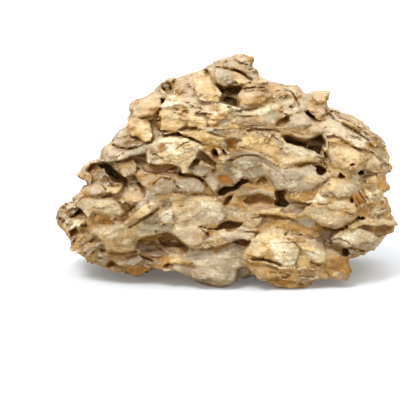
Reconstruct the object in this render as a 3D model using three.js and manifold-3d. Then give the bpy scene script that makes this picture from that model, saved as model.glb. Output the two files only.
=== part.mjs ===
// A dragon stone: one block of fossil clay, weathered into scales, ledges, caves and holes.
// Millimetres, +Z up. The front faces -Y, and the origin is on the floor under the middle of the stone.
//
// The block starts as a cushion whose rim is the outline of the stone. Every plate, hollow and crack of
// the front is one entry of PLATES, and layered scales cover the rest. The whole is one function of
// space, negative inside the stone, whose zero surface becomes the mesh.

import * as THREE from "three";
import Module from "manifold-3d";

// Driving dimensions
const LENGTH = 300; // along X
const HEIGHT = 194; // from the floor to the peak
const FRONT_REACH = 68; // how far the cushion bulges to the front of its middle surface
const BACK_REACH = 78; // and to the back
const RIM = 88; // how far in from its rim the cushion keeps thickening
const FRONT_FULLNESS = 2; // exponent of its section: 2 is round, less is more pointed
const BACK_FULLNESS = 1.6;
const MIDDLE_Y = -7.5; // place of the middle surface
const LEAN_BACK = 0.12; // how far the middle surface leans back for each millimetre up
const LEAN_LEVEL = 70; // and the height where it is in its place

// The outline and the plates are given as somebody sees them from in front and a little above:
// [across, up], where up is 0 at the foot that stands furthest forward.
const VIEW_ELEVATION = THREE.MathUtils.degToRad(12);
const NEAR_FOOT_Y = -81.5;

// Fineness of the mesh
const CELL = 3.6;
const TRIANGLES = 9600;
const MARGIN = 10;
const EDGE_COST = 0.02; // keeps short edges first in line where the surface is flat

const TOP_OUTLINE = [
  [-149, 57], [-148, 66], [-145, 71], [-139, 74], [-133, 75], [-134, 78], [-128, 83], [-125, 88],
  [-121, 91], [-124, 95], [-130, 99], [-131.5, 101], [-130, 105], [-122, 110], [-111, 113],
  [-109, 120], [-107, 124], [-101, 127], [-98, 131], [-93, 137], [-87, 139.5], [-86, 144],
  [-85.5, 150], [-83, 152], [-85, 157], [-84, 161], [-80, 164], [-73, 165.5], [-67, 168],
  [-63, 171], [-58, 177], [-52, 182], [-47, 183.5], [-43, 182.5], [-37, 185.5], [-32, 187.5],
  [-27, 187.5], [-20, 191], [-13, 195], [-5, 199], [3, 201], [8, 203], [13, 204.5], [17, 203],
  [21.5, 202], [21, 193], [25.5, 190], [25, 187], [30, 183], [33, 181], [38, 179.5], [44, 179],
  [50, 177], [60, 176], [65, 172], [70, 169], [77, 171], [83, 172], [88.5, 171], [87, 166],
  [86.5, 160], [88, 157], [93, 156], [100, 153], [106, 151], [112, 148], [118, 144], [124, 138],
  [130, 134], [135, 129], [137, 125], [140, 122], [143, 118], [141.5, 113], [141, 109],
  [145.5, 105], [141, 102], [138, 100], [138, 95], [143, 89], [138, 86], [135.5, 81], [139, 77],
  [142, 70], [142.5, 65], [147, 60], [149.5, 53],
];
const BOTTOM_OUTLINE = [
  [148, 50], [141, 48.5], [137, 45], [134, 41], [129, 36], [125, 33], [118, 30.5], [110, 28],
  [105, 27.5], [104, 22], [107, 16.5], [103, 10], [101, 6.5], [97, 7], [91, 9], [86, 5], [82, 2],
  [78, 0], [70, 0.5], [57, 0], [45, 0.5], [35, 1.5], [29, 4], [25, 8], [23, 11.5], [12, 11],
  [8, 8], [2, 3.5], [-4, 1.5], [-12, 2], [-20, 4], [-30, 7.5], [-38, 12], [-44, 15], [-52, 16],
  [-65, 17], [-72, 14], [-79, 10.5], [-87, 15], [-97, 16.5], [-105, 18], [-112, 22], [-124, 29],
  [-131, 33], [-136, 35], [-136, 43], [-139, 47], [-143, 50], [-147, 54],
];

// The rim of the cushion has only the main bends of the outline, and lies just outside it. It carries
// on below the stone, so that the cushion is thick where the stone stands.
const CUSHION_RIM = [
  [-156, 56], [-136, 100], [-90, 164], [-30, 198], [14, 214], [88, 182], [142, 130], [156, 52],
  [140, -90], [-140, -90],
];
const RIM_ROUNDING = 7;

// The front, back to front: [name, reach, lean, crown, [[across, up], ...]].
// reach is how far the plate stands out of the cushion, and is negative in a hollow. lean is how much
// more it stands out for each millimetre down, and crown how much higher its middle is than its edge.
const PLATES = [
  // Grounds, which later plates cover in part
  ["centre lobe", -4, 0.1, 3, [
    [-46, 36], [-10, 38], [4, 42], [13, 36], [14, 30], [11, 25], [18, 16], [24, 12], [12, 8], [4, 0],
    [-12, -1], [-30, 4], [-46, 13], [-48, 24],
  ]],
  ["bottom left rubble", 0, 0.1, 0, [
    [-138, 50], [-120, 56], [-108, 38], [-95, 34], [-80, 36], [-72, 32], [-60, 26], [-62, 14],
    [-80, 8], [-100, 12], [-126, 24], [-138, 33],
  ]],
  ["central ground", 1, 0.22, 0, [
    [-62, 84], [-40, 96], [-14, 96], [6, 100], [36, 100], [60, 88], [62, 62], [40, 50], [-40, 50],
    [-62, 62],
  ]],
  ["band below the grey plate", -4, 0.22, 0, [
    [28, 66], [46, 64], [60, 60], [76, 62], [84, 52], [74, 44], [58, 48], [30, 50], [22, 56],
  ]],
  ["under the tip", -4.5, 0.17, 0, [
    [-124, 107], [-112, 109], [-104, 103], [-96, 97], [-87, 94], [-86, 87], [-97, 89], [-113, 90],
    [-124, 90],
  ]],
  ["brown step", -4, 0.17, 0, [
    [-82, 112], [-74, 117], [-68, 118], [-60, 110], [-58, 100], [-70, 102], [-80, 104],
  ]],

  // The peak and the shoulder left of it
  ["peak slab", 4, 0.19, 0, [
    [-20, 192], [8, 206], [24, 206], [24, 194], [28, 190], [27, 184], [21, 181], [15, 186], [9, 189],
    [3, 190.5], [-6, 193], [-12, 193],
  ]],
  ["peak knob", 6, 0.07, 2, [
    [20, 192], [25.5, 191], [26, 187], [21, 186.5],
  ]],
  ["grey lens", 3, 0, 5, [
    [-18, 190], [-10, 193.5], [-1, 192], [4, 189.5], [7, 185], [8, 179], [3, 174.5], [-3, 175],
    [-12, 178], [-15, 184],
  ]],
  ["cream sliver", 3.5, 0.12, 1, [
    [4, 189.5], [10, 188], [15, 185], [20, 180], [18, 177], [11, 176], [8, 180], [6, 184],
  ]],
  ["left of the bulge", 2, 0.12, 2, [
    [-48, 181], [-42, 184], [-32, 189], [-25, 188], [-24, 178], [-28, 168], [-35, 164], [-44, 169],
    [-48, 174],
  ]],
  ["tan bulge", 4, 0.12, 3, [
    [-27, 188], [-19, 192], [-15, 184], [-12, 178], [-7, 173], [-4.5, 169], [-7, 164], [-14, 161.5],
    [-24, 163], [-29, 169], [-29, 178],
  ]],
  ["brown block", 5, 0.2, 0, [
    [9, 157], [10, 168], [13, 174], [24, 176], [33, 175], [38, 170], [36, 163], [31, 160.5],
    [25, 157.5], [17, 155.5],
  ]],
  ["block ledge", 6, 0.07, 0, [
    [12, 174], [17, 177], [26, 178.5], [34, 177], [30, 175], [22, 174.5], [14, 173],
  ]],
  ["right of the block", 1, 0.27, 0, [
    [30, 178], [46, 180], [52, 172], [60, 162], [57, 157], [47, 161], [37, 164], [38, 171],
  ]],
  ["right of the peak", 0, 0.22, 0, [
    [46, 180], [62, 178], [67, 170], [66, 158], [60, 160], [52, 171],
  ]],
  ["collar", 3.5, 0.15, 1, [
    [-58, 160], [-52, 169], [-40, 168], [-28, 164], [-16, 162], [0, 160], [8, 158], [18, 155],
    [26, 158], [32, 161], [38, 157], [32, 150], [10, 147], [-8, 150.5], [-30, 152], [-48, 152],
    [-58, 153],
  ]],
  ["white seam", 5, 0.07, 0, [
    [34, 158], [36, 160], [42, 159], [48, 161], [55, 162], [57, 159], [50, 155], [42, 155], [36, 155],
  ]],
  ["left block top", 4, 0.12, 1, [
    [-88, 154], [-86, 164], [-70, 169], [-60, 168], [-58, 157], [-64, 150], [-74, 148], [-88, 150],
  ]],
  ["cream bulge", 5, 0.12, 3, [
    [-90, 150], [-78, 149.5], [-71, 146], [-67, 141], [-65, 133], [-67, 128], [-72, 126.5], [-78, 131],
    [-84, 132], [-90, 138],
  ]],
  ["left facet", 3.5, 0.12, 0, [
    [-60, 155], [-48, 156], [-36, 155], [-33, 147], [-35, 140], [-46, 135], [-59, 137],
  ]],
  ["bright facet", 4.5, 0.1, 1, [
    [-36, 156], [-24, 157.5], [-17, 153], [-16, 143], [-22, 138], [-34, 139],
  ]],
  ["collar face", 3.5, 0.15, 0, [
    [-20, 152], [0, 150], [18, 149], [34, 151], [46, 158], [48, 148], [38, 140], [20, 139], [0, 137],
    [-14, 139], [-18, 144],
  ]],
  ["rust patch", 4, 0.1, 0, [
    [-6, 157], [3, 157.5], [6, 152], [0, 149], [-8, 150],
  ]],
  ["grey chip", 2.5, -0.1, 0, [
    [-11, 141.5], [-7, 146], [0, 149], [3, 146], [1, 141], [-4, 140],
  ]],

  // Upper left
  ["low slab", -1, 0.17, 0, [
    [-102, 127], [-96, 137], [-87, 141], [-83, 131], [-76, 130], [-69, 126], [-80, 122], [-91, 121.5],
    [-99, 124],
  ]],
  ["upper band", 5, 0.15, 0, [
    [-58, 133], [-50, 132], [-42, 135], [-38, 131], [-30, 129], [-23, 126], [-14, 121], [-6, 122],
    [-4, 127], [3, 130], [-4, 132], [-12, 133.5], [-16, 138], [-24, 138], [-35, 136], [-45, 137],
  ]],
  ["sweeping ledge", 5, 0.12, 2, [
    [-112, 118], [-108, 124], [-99, 122.5], [-90, 120.5], [-80, 121], [-70, 125], [-60, 131],
    [-52, 133], [-56, 129], [-62, 126], [-67, 121], [-71, 116], [-78, 114], [-84, 114], [-91, 111],
    [-102, 109.5], [-110, 110],
  ]],
  ["white shelf", 7, 0.07, 1, [
    [-98, 118], [-86, 119], [-84, 115], [-92, 112], [-101, 112],
  ]],
  ["tip slab", 3, 0.19, 0, [
    [-134, 101], [-132, 107], [-120, 112], [-108, 114], [-106, 109], [-118, 107], [-122, 102],
    [-117, 97], [-120, 91], [-128, 94],
  ]],
  ["wedge block", 1, 0.19, 0, [
    [-98, 109], [-90, 111], [-81, 112], [-78, 105], [-79, 98], [-84, 95], [-88, 96], [-93, 101],
  ]],

  // The middle left
  ["rounded plate", 3, 0.16, 1, [
    [-80, 98], [-73, 102], [-66, 103], [-60, 98], [-52, 96], [-46, 95], [-42, 87], [-50, 83],
    [-60, 82], [-68, 86], [-76, 91],
  ]],
  ["scalloped plate", 8, 0.2, 0, [
    [-70, 118], [-66, 124], [-60, 127], [-50, 131], [-38, 129.5], [-25, 126], [-17, 121], [-22, 116],
    [-31, 110], [-34, 104], [-30, 99], [-40, 98.5], [-42, 105], [-50, 107.5], [-62, 106], [-70, 110],
  ]],
  ["rust arcs", 7, 0.1, 0, [
    [-68, 121], [-62, 125], [-56, 126], [-52, 122], [-54, 119], [-60, 117.5], [-67, 118],
  ]],
  ["tan nose", 5, 0.15, 0, [
    [-20, 121], [-14, 124], [-5, 123], [-1, 118], [-3, 114], [-9, 111], [-16, 114],
  ]],
  ["grey shelf", 1, 0.12, 0, [
    [-33, 105], [-26, 107], [-18, 105], [-12, 99], [-20, 97], [-30, 99],
  ]],
  ["gully side", 3, 0.07, 1, [
    [-22, 109], [-12, 103], [-9, 107], [-4, 112], [-9, 112], [-13, 103], [-20, 107],
  ]],
  ["ledge above the lens", 3, 0.17, 1, [
    [-136, 76], [-130, 84], [-122, 91], [-112, 91], [-104, 89], [-96, 87], [-90, 88], [-91, 82],
    [-100, 81.5], [-110, 80.5], [-122, 80],
  ]],
  ["bowl rim", 3, 0.07, 1, [
    [-80, 66], [-79, 72], [-73, 79], [-71, 87], [-64, 85], [-59, 80], [-66, 76], [-74, 70],
  ]],
  ["cream lens", 5, 0, 5, [
    [-126, 72], [-120, 78], [-110, 79], [-98, 77], [-95, 76], [-91, 70], [-87, 66.5], [-93, 63],
    [-104, 64], [-115, 66], [-122, 61],
  ]],
  ["left knob", 3, 0, 3, [
    [-152, 59], [-148, 71], [-140, 76], [-131, 74], [-128, 71], [-130, 66], [-138, 62], [-143, 59],
  ]],
  ["white knob", 4, 0.17, 1, [
    [-147, 57], [-141, 61], [-133, 60], [-124, 60], [-121, 55], [-130, 53.5], [-138, 51], [-144, 52],
  ]],

  // The lower left
  ["mid left plate", -1, 0.12, 0, [
    [-121, 61], [-113, 66], [-104, 64], [-93, 62], [-88, 57], [-86, 54], [-95, 54], [-108, 52],
    [-119, 54],
  ]],
  ["grey patch", -1, 0.07, 0, [
    [-78, 58], [-70, 66], [-62, 66], [-56, 60], [-62, 54], [-72, 54],
  ]],
  ["long white plate", 7, 0.17, 2, [
    [-117, 51], [-106, 54], [-95, 55], [-87, 55.5], [-80, 59], [-74, 58.5], [-72, 54], [-75, 48],
    [-80, 42], [-79, 35], [-90, 32], [-103, 34], [-109, 41], [-115, 46],
  ]],
  ["diagonal rib", 10, 0.1, 0, [
    [-90, 57], [-80, 64.5], [-70, 71.5], [-61, 75.5], [-58, 72], [-68, 65], [-76, 59.5], [-86, 54.5],
  ]],
  ["cream triangles", 8, 0.12, 0, [
    [-61, 62], [-57, 65.5], [-51, 70.5], [-47, 69], [-45, 62], [-46, 57], [-52, 58], [-59, 58],
  ]],
  ["grey dimple", -1, 0.07, 0, [
    [-56, 72], [-54, 78], [-47, 80], [-46, 73], [-51, 69.5],
  ]],
  ["cave lip", 3, 0.12, 1, [
    [-76, 54], [-60, 55], [-50, 57], [-44, 54], [-41, 49], [-46, 47], [-56, 50], [-68, 49], [-76, 50],
  ]],
  ["lower left ledge", 2, 0.17, 0, [
    [-76, 31], [-60, 31], [-48, 30], [-35, 27], [-25, 20], [-35, 20], [-45, 22], [-50, 18], [-60, 16],
    [-66, 18], [-64, 24],
  ]],
  ["bright flake", 5, 0.12, 0, [
    [-50, 24], [-42, 26.5], [-34, 26], [-30, 23], [-38, 21.5], [-48, 21.5],
  ]],
  ["low flake", 3, 0.17, 0, [
    [-47, 18], [-40, 21], [-30, 19], [-24, 13], [-14, 5], [-24, 5], [-36, 9], [-45, 14],
  ]],
  ["pale shard", 3, 0.17, 0, [
    [-90, 22], [-84, 27], [-76, 30], [-72, 26], [-78, 22], [-84, 20],
  ]],
  ["amber tooth", -4.5, 0.07, 1, [
    [-90, 17], [-80, 20.5], [-70, 19], [-64, 17], [-72, 12], [-80, 9], [-88, 13],
  ]],

  // The middle
  ["smooth plate", 4, 0.19, 2, [
    [-51, 80], [-42, 83], [-30, 81], [-11, 80], [-9, 76], [-3, 71], [-4, 67], [1, 63], [-4, 59],
    [-10, 57], [-22, 53.5], [-30, 56], [-40, 52], [-45, 57], [-47, 66], [-47, 72],
  ]],
  ["overhanging plate", 9, 0.19, 1, [
    [-46, 56], [-38, 53], [-30, 56], [-22, 53], [-12, 51], [-3, 49], [6, 49.5], [16, 48.5], [24, 48.5],
    [24, 45], [18, 42], [8, 42.5], [0, 39], [-10, 36], [-25, 35], [-35, 37], [-42, 42], [-48, 48],
  ]],
  ["tan nest", 5, -0.1, 0, [
    [-22, 51], [-10, 51.5], [-8, 47], [-14, 45], [-20, 46],
  ]],
  ["upper grey plate", 5, 0.19, 1, [
    [-11, 81], [-15, 88], [-21, 94], [-11, 101], [-3, 108], [5, 113], [15, 118], [25, 120], [36, 116],
    [41, 109], [46, 105], [43, 100], [36, 97], [22, 95], [13, 97], [6, 91], [-3, 89.5], [-9, 84.5],
  ]],
  ["lilac rim", 7, 0.07, 1, [
    [8, 114], [15, 118], [26, 120.5], [34, 117.5], [40, 111], [45, 106], [40, 107], [33, 112],
    [24, 115.5], [15, 115],
  ]],
  ["orange face", 4, 0.07, 0, [
    [-10, 97], [-2, 98], [4, 95], [2, 92], [-6, 92],
  ]],
  ["tan ledge", 3, 0.22, 0, [
    [0, 62], [10, 66], [22, 65], [31, 62], [28, 55], [20, 52], [11, 55], [14, 60], [5, 61.5],
  ]],
  ["striped nest", -3, 0.07, 0, [
    [-3, 71], [0, 77], [7, 80], [13, 79], [14, 73], [9, 68], [2, 67.5],
  ]],
  ["cream ridge", 5, 0.17, 1, [
    [20, 65.5], [30, 68.5], [37, 70], [46, 70.5], [49, 68], [43, 64.5], [35, 64], [27, 64.5],
  ]],
  ["brown recess", -3, 0.17, 0, [
    [48, 76], [60, 75.5], [71, 74], [67, 70], [60, 65], [52, 65.5], [47, 68],
  ]],
  ["grey eyelid", 3, 0.07, 1, [
    [12, 80], [16, 84], [26, 85], [38, 83], [41, 79], [36, 80], [24, 83], [16, 80],
  ]],

  // The middle right
  ["cream ground", 2, 0.17, 0, [
    [12, 130], [10, 122], [20, 119], [30, 117], [38, 110], [44, 104], [60, 106], [74, 109], [84, 112],
    [76, 116], [68, 122], [50, 126], [46, 132], [46, 138], [30, 139], [18, 137],
  ]],
  ["cream lip", 6, 0.15, 0, [
    [50, 125], [58, 123], [66, 121], [72, 118], [76, 114], [72, 110], [62, 109], [52, 112], [47, 118],
  ]],
  ["grey hood", 7, 0.22, 1, [
    [38, 142], [50, 148], [60, 152], [68, 151], [75, 143], [82, 140], [85, 136], [75, 134],
    [72, 129.5], [65, 127.5], [57, 129.5], [50, 133], [41, 137],
  ]],
  ["grey plate", 5, 0.17, 2, [
    [34, 97], [42, 101], [60, 105.5], [71, 108], [77, 104], [83, 99], [88, 97], [80, 90], [72, 86],
    [60, 84.5], [50, 84.5], [41, 86], [37, 90],
  ]],
  ["lower grey edge", 2, 0.17, 0, [
    [50, 85], [60, 84.5], [72, 86], [80, 90], [77, 83], [71, 77], [62, 75], [52, 76], [49, 81],
  ]],
  ["smooth slope", 3, 0.22, 0, [
    [86, 134], [95, 133], [101, 128], [107, 124], [120, 121], [127, 116], [120, 111], [110, 106],
    [100, 103], [90, 105], [84, 111], [86, 122],
  ]],
  ["lip", 5, 0.07, 1, [
    [100, 131], [108, 133], [120, 130], [124, 126], [117, 123.5], [110, 123.5], [104, 126],
  ]],
  ["shoulder slab", 0, 0.22, 0, [
    [87, 158], [100, 156], [114, 149], [128, 139], [138, 130], [139, 124], [128, 125], [120, 129],
    [110, 135], [100, 141], [90, 147], [82, 149],
  ]],
  ["shoulder vein", 2, 0.07, 0, [
    [92, 152], [104, 146], [118, 137], [132, 127], [130, 125], [116, 134], [102, 143], [90, 149],
  ]],
  ["pale slab", 3, 0.22, 1, [
    [75, 147], [90, 147], [100, 142], [105, 136], [101, 130], [95, 133], [87, 136], [79, 140],
  ]],
  ["horn", 3, 0.17, 0, [
    [69, 172], [77, 174], [92, 174], [89, 160], [88, 157], [82, 149], [75, 146], [70, 153], [67, 158],
    [67, 168],
  ]],
  ["pale strip", 3, 0.07, 0, [
    [64, 170], [70, 169], [70, 158], [67, 153], [62, 152], [61, 160],
  ]],
  ["yellow crust", 2, 0.17, 0, [
    [120, 126], [132, 127], [140, 124], [146, 118], [143, 111], [133, 111], [128, 117], [121, 121],
  ]],
  ["crust lens", 1, 0.07, 1, [
    [125, 122], [131, 120], [138, 115], [136, 112], [129, 116],
  ]],
  ["cream knob", 4, 0, 4, [
    [116, 104], [118, 109], [124, 112], [129, 109], [128, 104], [122, 102.5],
  ]],
  ["grey wedge", -2, 0.07, 0, [
    [115, 104], [122, 103], [131, 101], [129, 97], [120, 95], [116, 91], [113, 94],
  ]],
  ["upper tooth", 3, 0.17, 0, [
    [127, 105], [136, 111], [149, 106], [140, 100.5], [130, 100],
  ]],
  ["cream wedge", 4, 0.17, 0, [
    [118, 95], [129, 99], [132, 93], [125, 90], [118, 91],
  ]],
  ["lower tooth", 1, 0.17, 0, [
    [130, 98], [140, 99], [147, 89], [138, 84], [130, 87],
  ]],
  ["left lobe", 5, 0.17, 3, [
    [79, 86], [85, 92.5], [92, 93.5], [96, 90], [95, 86], [88, 83], [81, 82],
  ]],
  ["right lobe", 5, 0.12, 3, [
    [94, 90], [100, 91.5], [107, 90], [113, 84], [109, 80], [100, 79], [92, 80], [88, 83],
  ]],
  ["striped wing", 3, 0.07, 0, [
    [107, 84], [113, 88], [120, 76], [113, 73.5], [106, 75],
  ]],
  ["white fleck", 4, 0.07, 0, [
    [116, 87], [124, 84], [127, 79], [121, 77], [118, 81],
  ]],
  ["cream triangle", 6, 0.12, 0, [
    [71.5, 76], [79.5, 83.5], [85, 76], [82, 74], [73, 74],
  ]],

  // The lower right
  ["ochre boss", 8, 0.15, 3, [
    [59, 62], [68, 71], [75, 74], [88, 75], [100, 77], [110, 74], [113, 66], [110, 60], [100, 54],
    [92, 51.5], [82, 53.5], [74, 58], [66, 63],
  ]],
  ["pale cap", 10, 0.15, 1, [
    [85, 71], [92, 76], [100, 75.5], [106, 71], [99, 67], [89, 67],
  ]],
  ["grey rough patch", -1, 0.07, 0, [
    [59, 60], [66, 62.5], [74, 61], [76, 55], [66, 52], [58, 56],
  ]],
  ["ochre slab", 5, 0.2, 0, [
    [111, 74], [120, 76], [137, 77], [145, 70], [146, 62], [135, 58.5], [120, 60], [112, 63],
  ]],
  ["light ledge", 9, 0.15, 0, [
    [98, 54], [112, 59], [125, 60.5], [140, 59], [152, 57], [152, 53.5], [140, 54.5], [130, 55],
    [118, 54], [107, 51],
  ]],
  ["lower lip", 3, 0.17, 1, [
    [104, 36], [110, 41], [120, 42], [136, 43], [136, 38], [127, 32], [119, 31], [110, 34],
  ]],
  ["low hook", -2, 0.07, 0, [
    [104, 35], [111, 34.5], [119, 31], [107, 27], [103, 28],
  ]],
  ["right lower plate", 8, 0.17, 1, [
    [86, 43], [92, 48], [100, 53], [112, 52.5], [122, 51], [130, 45], [131, 41], [118, 40], [108, 37],
    [102, 36], [95, 39],
  ]],
  ["white corner", 10, 0.07, 0, [
    [97, 45], [108, 50], [116, 51], [108, 42], [104, 37.5], [98, 39],
  ]],
  ["lower lobe", 5, -0.05, 3, [
    [10, 24], [14, 27], [22, 24], [34, 22], [46, 19], [58, 18], [70, 18], [80, 18], [92, 10], [82, 0],
    [70, -3], [45, -3], [29, 1], [23, 9], [20, 16],
  ]],
  ["rust band", 5, 0.07, 1, [
    [36, 9], [46, 12], [60, 14], [74, 14], [84, 9], [74, 5], [58, 3], [44, 5],
  ]],
  ["lower knob", 3, 0.05, 3, [
    [80, 32], [90, 34], [99, 33], [106, 27], [105, 20], [110, 16], [104, 7], [97, 4], [90, 8],
    [84, 16], [79, 22],
  ]],
  ["right wing", 5, 0.17, 1, [
    [57, 47], [68, 43], [79, 36], [87, 29], [84, 21], [70, 18.5], [59, 19], [59, 28], [62, 37],
  ]],
  ["wing flake", 9, 0.12, 0, [
    [66, 33], [73, 37], [80, 34], [86, 28], [85, 23.5], [80, 21.5], [73, 24],
  ]],
  ["low wing flake", 8, 0.12, 0, [
    [58, 26], [64, 29], [71, 23], [79, 20], [68, 18], [59, 18.5],
  ]],
  ["big cream plate", 9, 0.17, 2, [
    [13, 34], [18, 40], [24, 46], [36, 50], [50, 48], [58, 44], [62, 37], [61, 29], [58, 21], [50, 20],
    [40, 23], [30, 27], [20, 27.5], [12, 25], [10, 27.5],
  ]],
  ["bright face", 11, 0.15, 0, [
    [38, 44], [50, 45], [58, 38], [61, 30], [58, 21], [49, 20.5], [41, 26], [36, 34],
  ]],

  // Facets broken off the faces of the plates
  ["peak facet", 6, 0.2, 0, [
    [4, 201], [13, 206], [24, 206], [22, 197], [12, 195],
  ]],
  ["bulge facet", 7, 0.15, 0, [
    [-25, 178], [-15, 177], [-8, 172], [-6, 168], [-14, 165], [-24, 168],
  ]],
  ["block face", 7, 0.2, 0, [
    [11, 167], [18, 170], [28, 168], [34, 164], [27, 159], [17, 158], [11, 160],
  ]],
  ["shoulder facet", 2, 0.2, 0, [
    [46, 176], [58, 175], [63, 168], [56, 163], [49, 168],
  ]],
  ["boss facet", 11, 0.2, 0, [
    [72, 66], [84, 69], [95, 68], [97, 58], [88, 54], [78, 57],
  ]],
  ["second boss facet", 10.5, 0.15, 0, [
    [96, 70], [106, 71], [112, 65], [108, 58], [98, 56],
  ]],
  ["slope facet", 5, 0.2, 0, [
    [96, 121], [108, 121], [118, 117], [112, 111], [100, 110],
  ]],
  ["second slope facet", 4, 0.2, 0, [
    [87, 120], [95, 121], [97, 112], [90, 108], [86, 112],
  ]],
  ["wing facet", 8, 0.15, 0, [
    [62, 38], [70, 41], [77, 37], [74, 32], [66, 33],
  ]],
  ["plate facet", 10.5, 0.2, 0, [
    [17, 39], [25, 46], [37, 45], [36, 35], [30, 28], [15, 31],
  ]],
  ["knob facet", 6, 0.15, 0, [
    [83, 29], [92, 31], [100, 27], [98, 19], [88, 18],
  ]],
  ["lobe facet", 8, 0, 0, [
    [25, 18], [35, 19], [44, 15], [38, 8], [28, 9],
  ]],
  ["second lobe facet", 7, 0, 0, [
    [50, 16], [62, 16], [70, 12], [62, 7], [52, 8],
  ]],
  ["lens facet", 8, 0.1, 0, [
    [-116, 76], [-104, 77], [-98, 73], [-106, 68], [-116, 70],
  ]],
  ["plate chip", 9, 0.12, 0, [
    [-112, 50], [-100, 53], [-92, 52], [-98, 47], [-108, 46],
  ]],
  ["second plate chip", 10, 0.12, 0, [
    [-98, 46], [-86, 48], [-80, 45], [-84, 38], [-96, 38],
  ]],
  ["lilac slab", 5, 0.15, 0, [
    [-46, 93], [-36, 95.5], [-25, 93.5], [-18, 89], [-22, 84], [-34, 83], [-43, 85],
  ]],
  ["second lilac slab", 4, 0.15, 0, [
    [-64, 90], [-54, 95], [-47, 93], [-46, 87], [-52, 82], [-62, 82],
  ]],
  ["smooth facet", 7, 0.15, 0, [
    [-46, 68], [-40, 74], [-30, 74], [-20, 68], [-24, 60], [-34, 57], [-44, 61],
  ]],
  ["second smooth facet", 6, 0.2, 0, [
    [-30, 79], [-12, 79], [-6, 74], [-8, 67], [-18, 68],
  ]],
  ["over facet", 11, 0.15, 0, [
    [-44, 50], [-36, 52], [-26, 53], [-18, 49], [-24, 38], [-36, 38], [-42, 43],
  ]],
  ["second over facet", 11, 0.12, 0, [
    [-8, 46], [6, 47], [16, 46], [10, 43], [-4, 41],
  ]],
  ["grey facet", 8, 0.15, 0, [
    [2, 110], [16, 114], [28, 113], [30, 106], [16, 102], [4, 104],
  ]],
  ["second grey facet", 8, 0.15, 0, [
    [46, 102], [58, 104], [66, 100], [60, 93], [48, 93],
  ]],
  ["third grey facet", 7, 0.15, 0, [
    [66, 98], [78, 99], [82, 95], [74, 90], [66, 91],
  ]],
  ["scallop facet", 11, 0.15, 0, [
    [-54, 118], [-42, 119], [-36, 112], [-44, 108], [-54, 111],
  ]],
  ["second scallop facet", 10, 0.15, 0, [
    [-44, 128], [-32, 127], [-24, 122], [-34, 119], [-44, 122],
  ]],
  ["ground facet", 5, 0.15, 0, [
    [16, 134], [28, 136], [38, 133], [34, 125], [20, 124],
  ]],
  ["second ground facet", 6, 0.15, 0, [
    [48, 107], [60, 108], [66, 113], [54, 116], [46, 113],
  ]],
  ["hood facet", 10, 0.2, 0, [
    [52, 147], [64, 149], [72, 143], [64, 137], [52, 139],
  ]],
  ["horn facet", 6, 0.15, 0, [
    [73, 169], [84, 172], [89, 168], [84, 160], [75, 159],
  ]],
  ["shoulder chip", 3, 0.2, 0, [
    [98, 152], [112, 146], [120, 140], [112, 138], [100, 145],
  ]],
  ["ledge facet", 6, 0.15, 0, [
    [-124, 88], [-112, 89], [-106, 85], [-114, 82], [-124, 84],
  ]],
  ["collar facet", 5, 0.15, 0, [
    [-50, 165], [-38, 165], [-26, 161], [-36, 157], [-48, 159],
  ]],
  ["second collar facet", 5, 0.15, 0, [
    [-14, 159], [0, 157], [6, 153], [-4, 151], [-14, 155],
  ]],
  ["face facet", 6, 0.15, 0, [
    [8, 147], [22, 148], [30, 144], [22, 140], [8, 141],
  ]],
  ["second face facet", 5, 0.15, 0, [
    [30, 150], [40, 154], [46, 150], [40, 143], [31, 144],
  ]],
  ["left chip", 4, 0.15, 0, [
    [-46, 178], [-36, 181], [-30, 176], [-36, 170], [-44, 173],
  ]],

  // Pockets and holes, which cut into all of these
  ["notch by the bulge", -5, 0, 0, [
    [-19, 190.5], [-17.5, 190.5], [-15, 185.5], [-16.5, 184],
  ]],
  ["peak cave", -12, 0, 0, [
    [-9, 176], [-3, 174], [3, 176], [10, 174.5], [14, 175], [12, 171], [9, 166], [9.5, 157], [3, 159],
    [-7, 161], [-4, 168],
  ]],
  ["roof of the cave", -19, 0, 0, [
    [0, 173.5], [6, 175], [13, 175], [11, 171.5], [5, 170],
  ]],
  ["foot of the cave", -20, 0, 0, [
    [-4, 163], [-1, 167], [5, 166], [9, 163], [9.5, 157.5], [3, 159],
  ]],
  ["pebble pit", -8, 0, 0, [
    [-57, 176], [-54, 179.5], [-49, 178.5], [-48, 174], [-50, 169.5], [-54, 169.5], [-57, 173],
  ]],
  ["brown hollow", -5, 0, 0, [
    [-65, 149], [-61, 151], [-57, 149], [-57, 143], [-59, 139], [-63, 141],
  ]],
  ["black cave", -30, 0, 0, [
    [-112, 107.5], [-105, 109], [-101, 107.5], [-96, 102.5], [-91, 97.5], [-87, 95.5], [-86.5, 88],
    [-89.5, 87], [-91.5, 92], [-97, 94], [-102, 98.5], [-107, 104],
  ]],
  ["wedge shadow", -6, 0, 0, [
    [-88, 96], [-83, 98], [-79, 98], [-80, 94], [-85, 92.5],
  ]],
  ["brown corner", -7, 0, 0, [
    [-79, 113], [-74, 116], [-70, 117], [-70, 110.5], [-76, 110],
  ]],
  ["scalloped cave", -10, 0, 0, [
    [-80, 111], [-74, 112], [-66, 108], [-58, 106.5], [-50, 108], [-44, 106], [-41, 100], [-44, 95.5],
    [-50, 97], [-56, 98], [-62, 101], [-70, 102], [-77, 106],
  ]],
  ["left hole", -14, 0, 0, [
    [-31, 106.5], [-29, 111], [-26, 112.5], [-23, 110.5], [-26, 108.5],
  ]],
  ["gully", -8, 0, 0, [
    [-27, 115], [-24, 120], [-20, 118], [-14, 113], [-10, 109], [-11, 104], [-16, 107], [-21, 110],
  ]],
  ["round hole", -17, 0, 0, [
    [-13, 118], [-10.5, 121.5], [-8, 119.5], [-7, 114], [-9, 112.5], [-12, 114], [-12.5, 116],
  ]],
  ["hook hollow", -7, 0, 0, [
    [-6, 122.5], [-3, 121.5], [0, 117.5], [-1, 115.5], [-4, 117], [-3.5, 120],
  ]],
  ["orange curl", -5, 0, 0, [
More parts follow.
